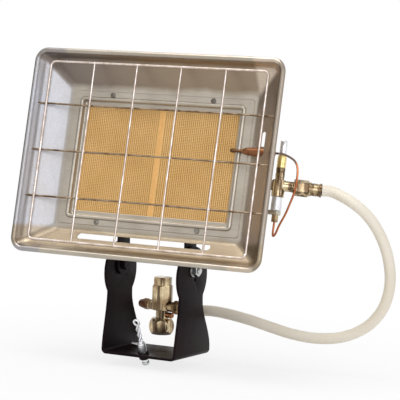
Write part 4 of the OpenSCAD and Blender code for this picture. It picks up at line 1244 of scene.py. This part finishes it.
def twist_handle():
    """The handle: two wires twisted round each other between a collar and an eye."""
    strands = []
    for phase in (0, 180):
        points = helix(STRAND_R, STRAND_LOW, STRAND_HIGH, phase, STRAND_SWEEP, STRAND_STEPS)
        strands.append(bent_wire("strand", points, 2.9, 5))
    collar = turned("collar", [(16.0, 3.1), (16.4, 3.35), (18.6, 3.3), (19.3, 2.6)], 40)
    nothing_selected()
    bpy.ops.mesh.primitive_torus_add(
        major_radius=3.5 * MM, minor_radius=1.3 * MM, major_segments=36, minor_segments=14
    )
    eye = settled(named("eye"), shift(0, 0, 45.5) @ turn(90, "X"))
    handle = smooth(joined("clamp_handle_rod", [collar, *strands, eye]), 50)
    fitted(handle, CLAMP, "screw", "zinc_steel")
    dressed(handle, "bright_zinc")


# The bottle connector


def turn_connector():
    body = softened(hexagon("connector_body_block", 24, 41, 72, 0.07), 0.45, 3, 35)
    top = softened(hexagon("top", 21, 60, 82, 0.08), 0.45, 3, 35)
    neck = turned("neck", [(24.1, 9.2), (24.4, 9.5), (27.1, 9.5), (27.1, 7.5), (50, 7.5)])
    level = shift(0, 0, BRANCH_Z)
    hose_stub = settled(turned("stub", [(3, 6.3), (18.4, 6.3), (19, 5.9)]), level @ turn(90, "Y"))
    cap_stub = settled(turned("stub", [(3, 6.3), (19.4, 6.3), (20, 5.9)]), level @ turn(-90, "Y"))
    for part in (top, neck, hose_stub, cap_stub):
        combined(body, part, "UNION")
    drilled(body, 3, 20, 43)
    fitted(smooth(body, FACET), CONNECTOR, "bracket", "brass")
    cap = hexagon("connector_cap_end", 12, 20, 27.2, 0.06)
    cone = turned("cone", [(27, 6), (28, 6), (33.2, 4.7), (34, 4.2)])
    cap = softened(combined(cap, cone, "UNION"), 0.3)
    fitted(cap, CAP_BRANCH, "bracket", "bronze")
    profile = [(6.9, 3.5), (12.8, 3.5), (13, 3.1), (13.6, 3.1), (13.8, 3.5), (16, 3.4), (16.5, 2.8)]
    frame = CONNECTOR @ shift(0, 0, PLUG_Z) @ turn(90, "Y")
    lathe("connector_plug_pin", profile, frame, "bracket", "copper", 40)
    nut = drilled(softened(hexagon("connector_nipple_nut", 15, 19, 26), 0.25), 2.5, 18, 27)
    tube = turned("tube", [(25.9, 2.5), (25.9, 4), (40, 4), (40, 2.5)], 32, hollow=True)
    nipple = smooth(joined("connector_nipple_nut", [nut, tube]), FACET)
    fitted(nipple, BRANCH, "bracket", "brass")
    crimped("connector_ferrule_sleeve", 26, BRANCH, "bracket")
    shape_coupling()
    profile = [(22.1, 4), (22.1, 9.3), (22.3, 9.5), (23.9, 9.5), (24.1, 9.3), (24.1, 4)]
    sleeve("seal_washer_ring", profile, CONNECTOR, "bracket", "rubber", 40)


def shape_coupling():
    """The coupling nut: a hexagon turned to a ball, with its thread inside."""
    corner = 13.5 / cos(radians(30))
    nut = turned("coupling_nut_body", [(-10, corner), (10, corner)], 6)
    settled(nut, turn(COUPLING_SPIN, "Z"))
    nothing_selected()
    bpy.ops.mesh.primitive_uv_sphere_add(segments=72, ring_count=36, radius=corner * MM)
    combined(nut, named("ball"), "INTERSECT")
    softened(nut, 0.35, 2, 20)
    profile = [(-11, 10.3)]
    for at in (-9.6 + 1.6 * i for i in range(6)):
        profile += [(at, 10.3), (at + 0.4, 10.75), (at + 0.8, 10.75), (at + 1.2, 10.3)]
    profile += [(0.5, 10.7), (6.4, 10.7)]
    combined(nut, turned("bore", profile), "DIFFERENCE")
    drilled(nut, 7.6, 5, 11)
    fitted(smooth(nut, FACET), CONNECTOR @ shift(0, 0, 21), "coupling", "brass")
    # Painted shade: faces turned downwards, below 16 mm, get a dark brass that paints shade on the
    # nut's underside.
    nut.data.materials.append(FINISHES["oiled_brass"])
    for face in nut.data.polygons:
        if face.normal.z < -0.2 and face.center.z < 16 * MM:
            face.material_index = 1


PLAIN_NODES = {
    "plaque_gasket": "ceramic_fibre",
    "baffle_plate": "reflector_steel",
    "injector_jet": "brass",
    "valve_disc": "rubber",
    "magnet_unit": "zinc_steel",
    "inlet_nipple": "brass",
    "thermocouple_bracket": "reflector_steel",
}

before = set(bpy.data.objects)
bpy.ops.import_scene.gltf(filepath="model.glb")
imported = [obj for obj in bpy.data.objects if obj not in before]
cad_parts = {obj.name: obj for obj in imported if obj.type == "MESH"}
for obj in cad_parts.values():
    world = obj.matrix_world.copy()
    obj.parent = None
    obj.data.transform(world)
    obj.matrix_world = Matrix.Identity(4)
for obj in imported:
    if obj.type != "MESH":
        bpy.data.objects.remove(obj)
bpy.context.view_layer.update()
FINISHES = make_finishes()
aim_camera()
light_studio()
hang_card()
lay_floor()
for node_name, slot_name in PLAIN_NODES.items():
    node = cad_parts[node_name]
    node.data.materials.clear()
    node.data.materials.append(FINISHES[slot_name])
turn_connector()
lay_hose()
press_reflector()
bend_guard()
press_burner_frame()
for plaque_side in (-1, 1):
    pierce_plaque(plaque_side)
fill_plaque_joint()
press_plenum()
make_mixing_tube()
turn_valve()
turn_inlet()
coil_spring()
turn_thermocouple()
bend_lead()
fasten_pivots()
fold_bracket()
turn_clamp()

bpy.context.scene.view_settings.view_transform = "Standard"
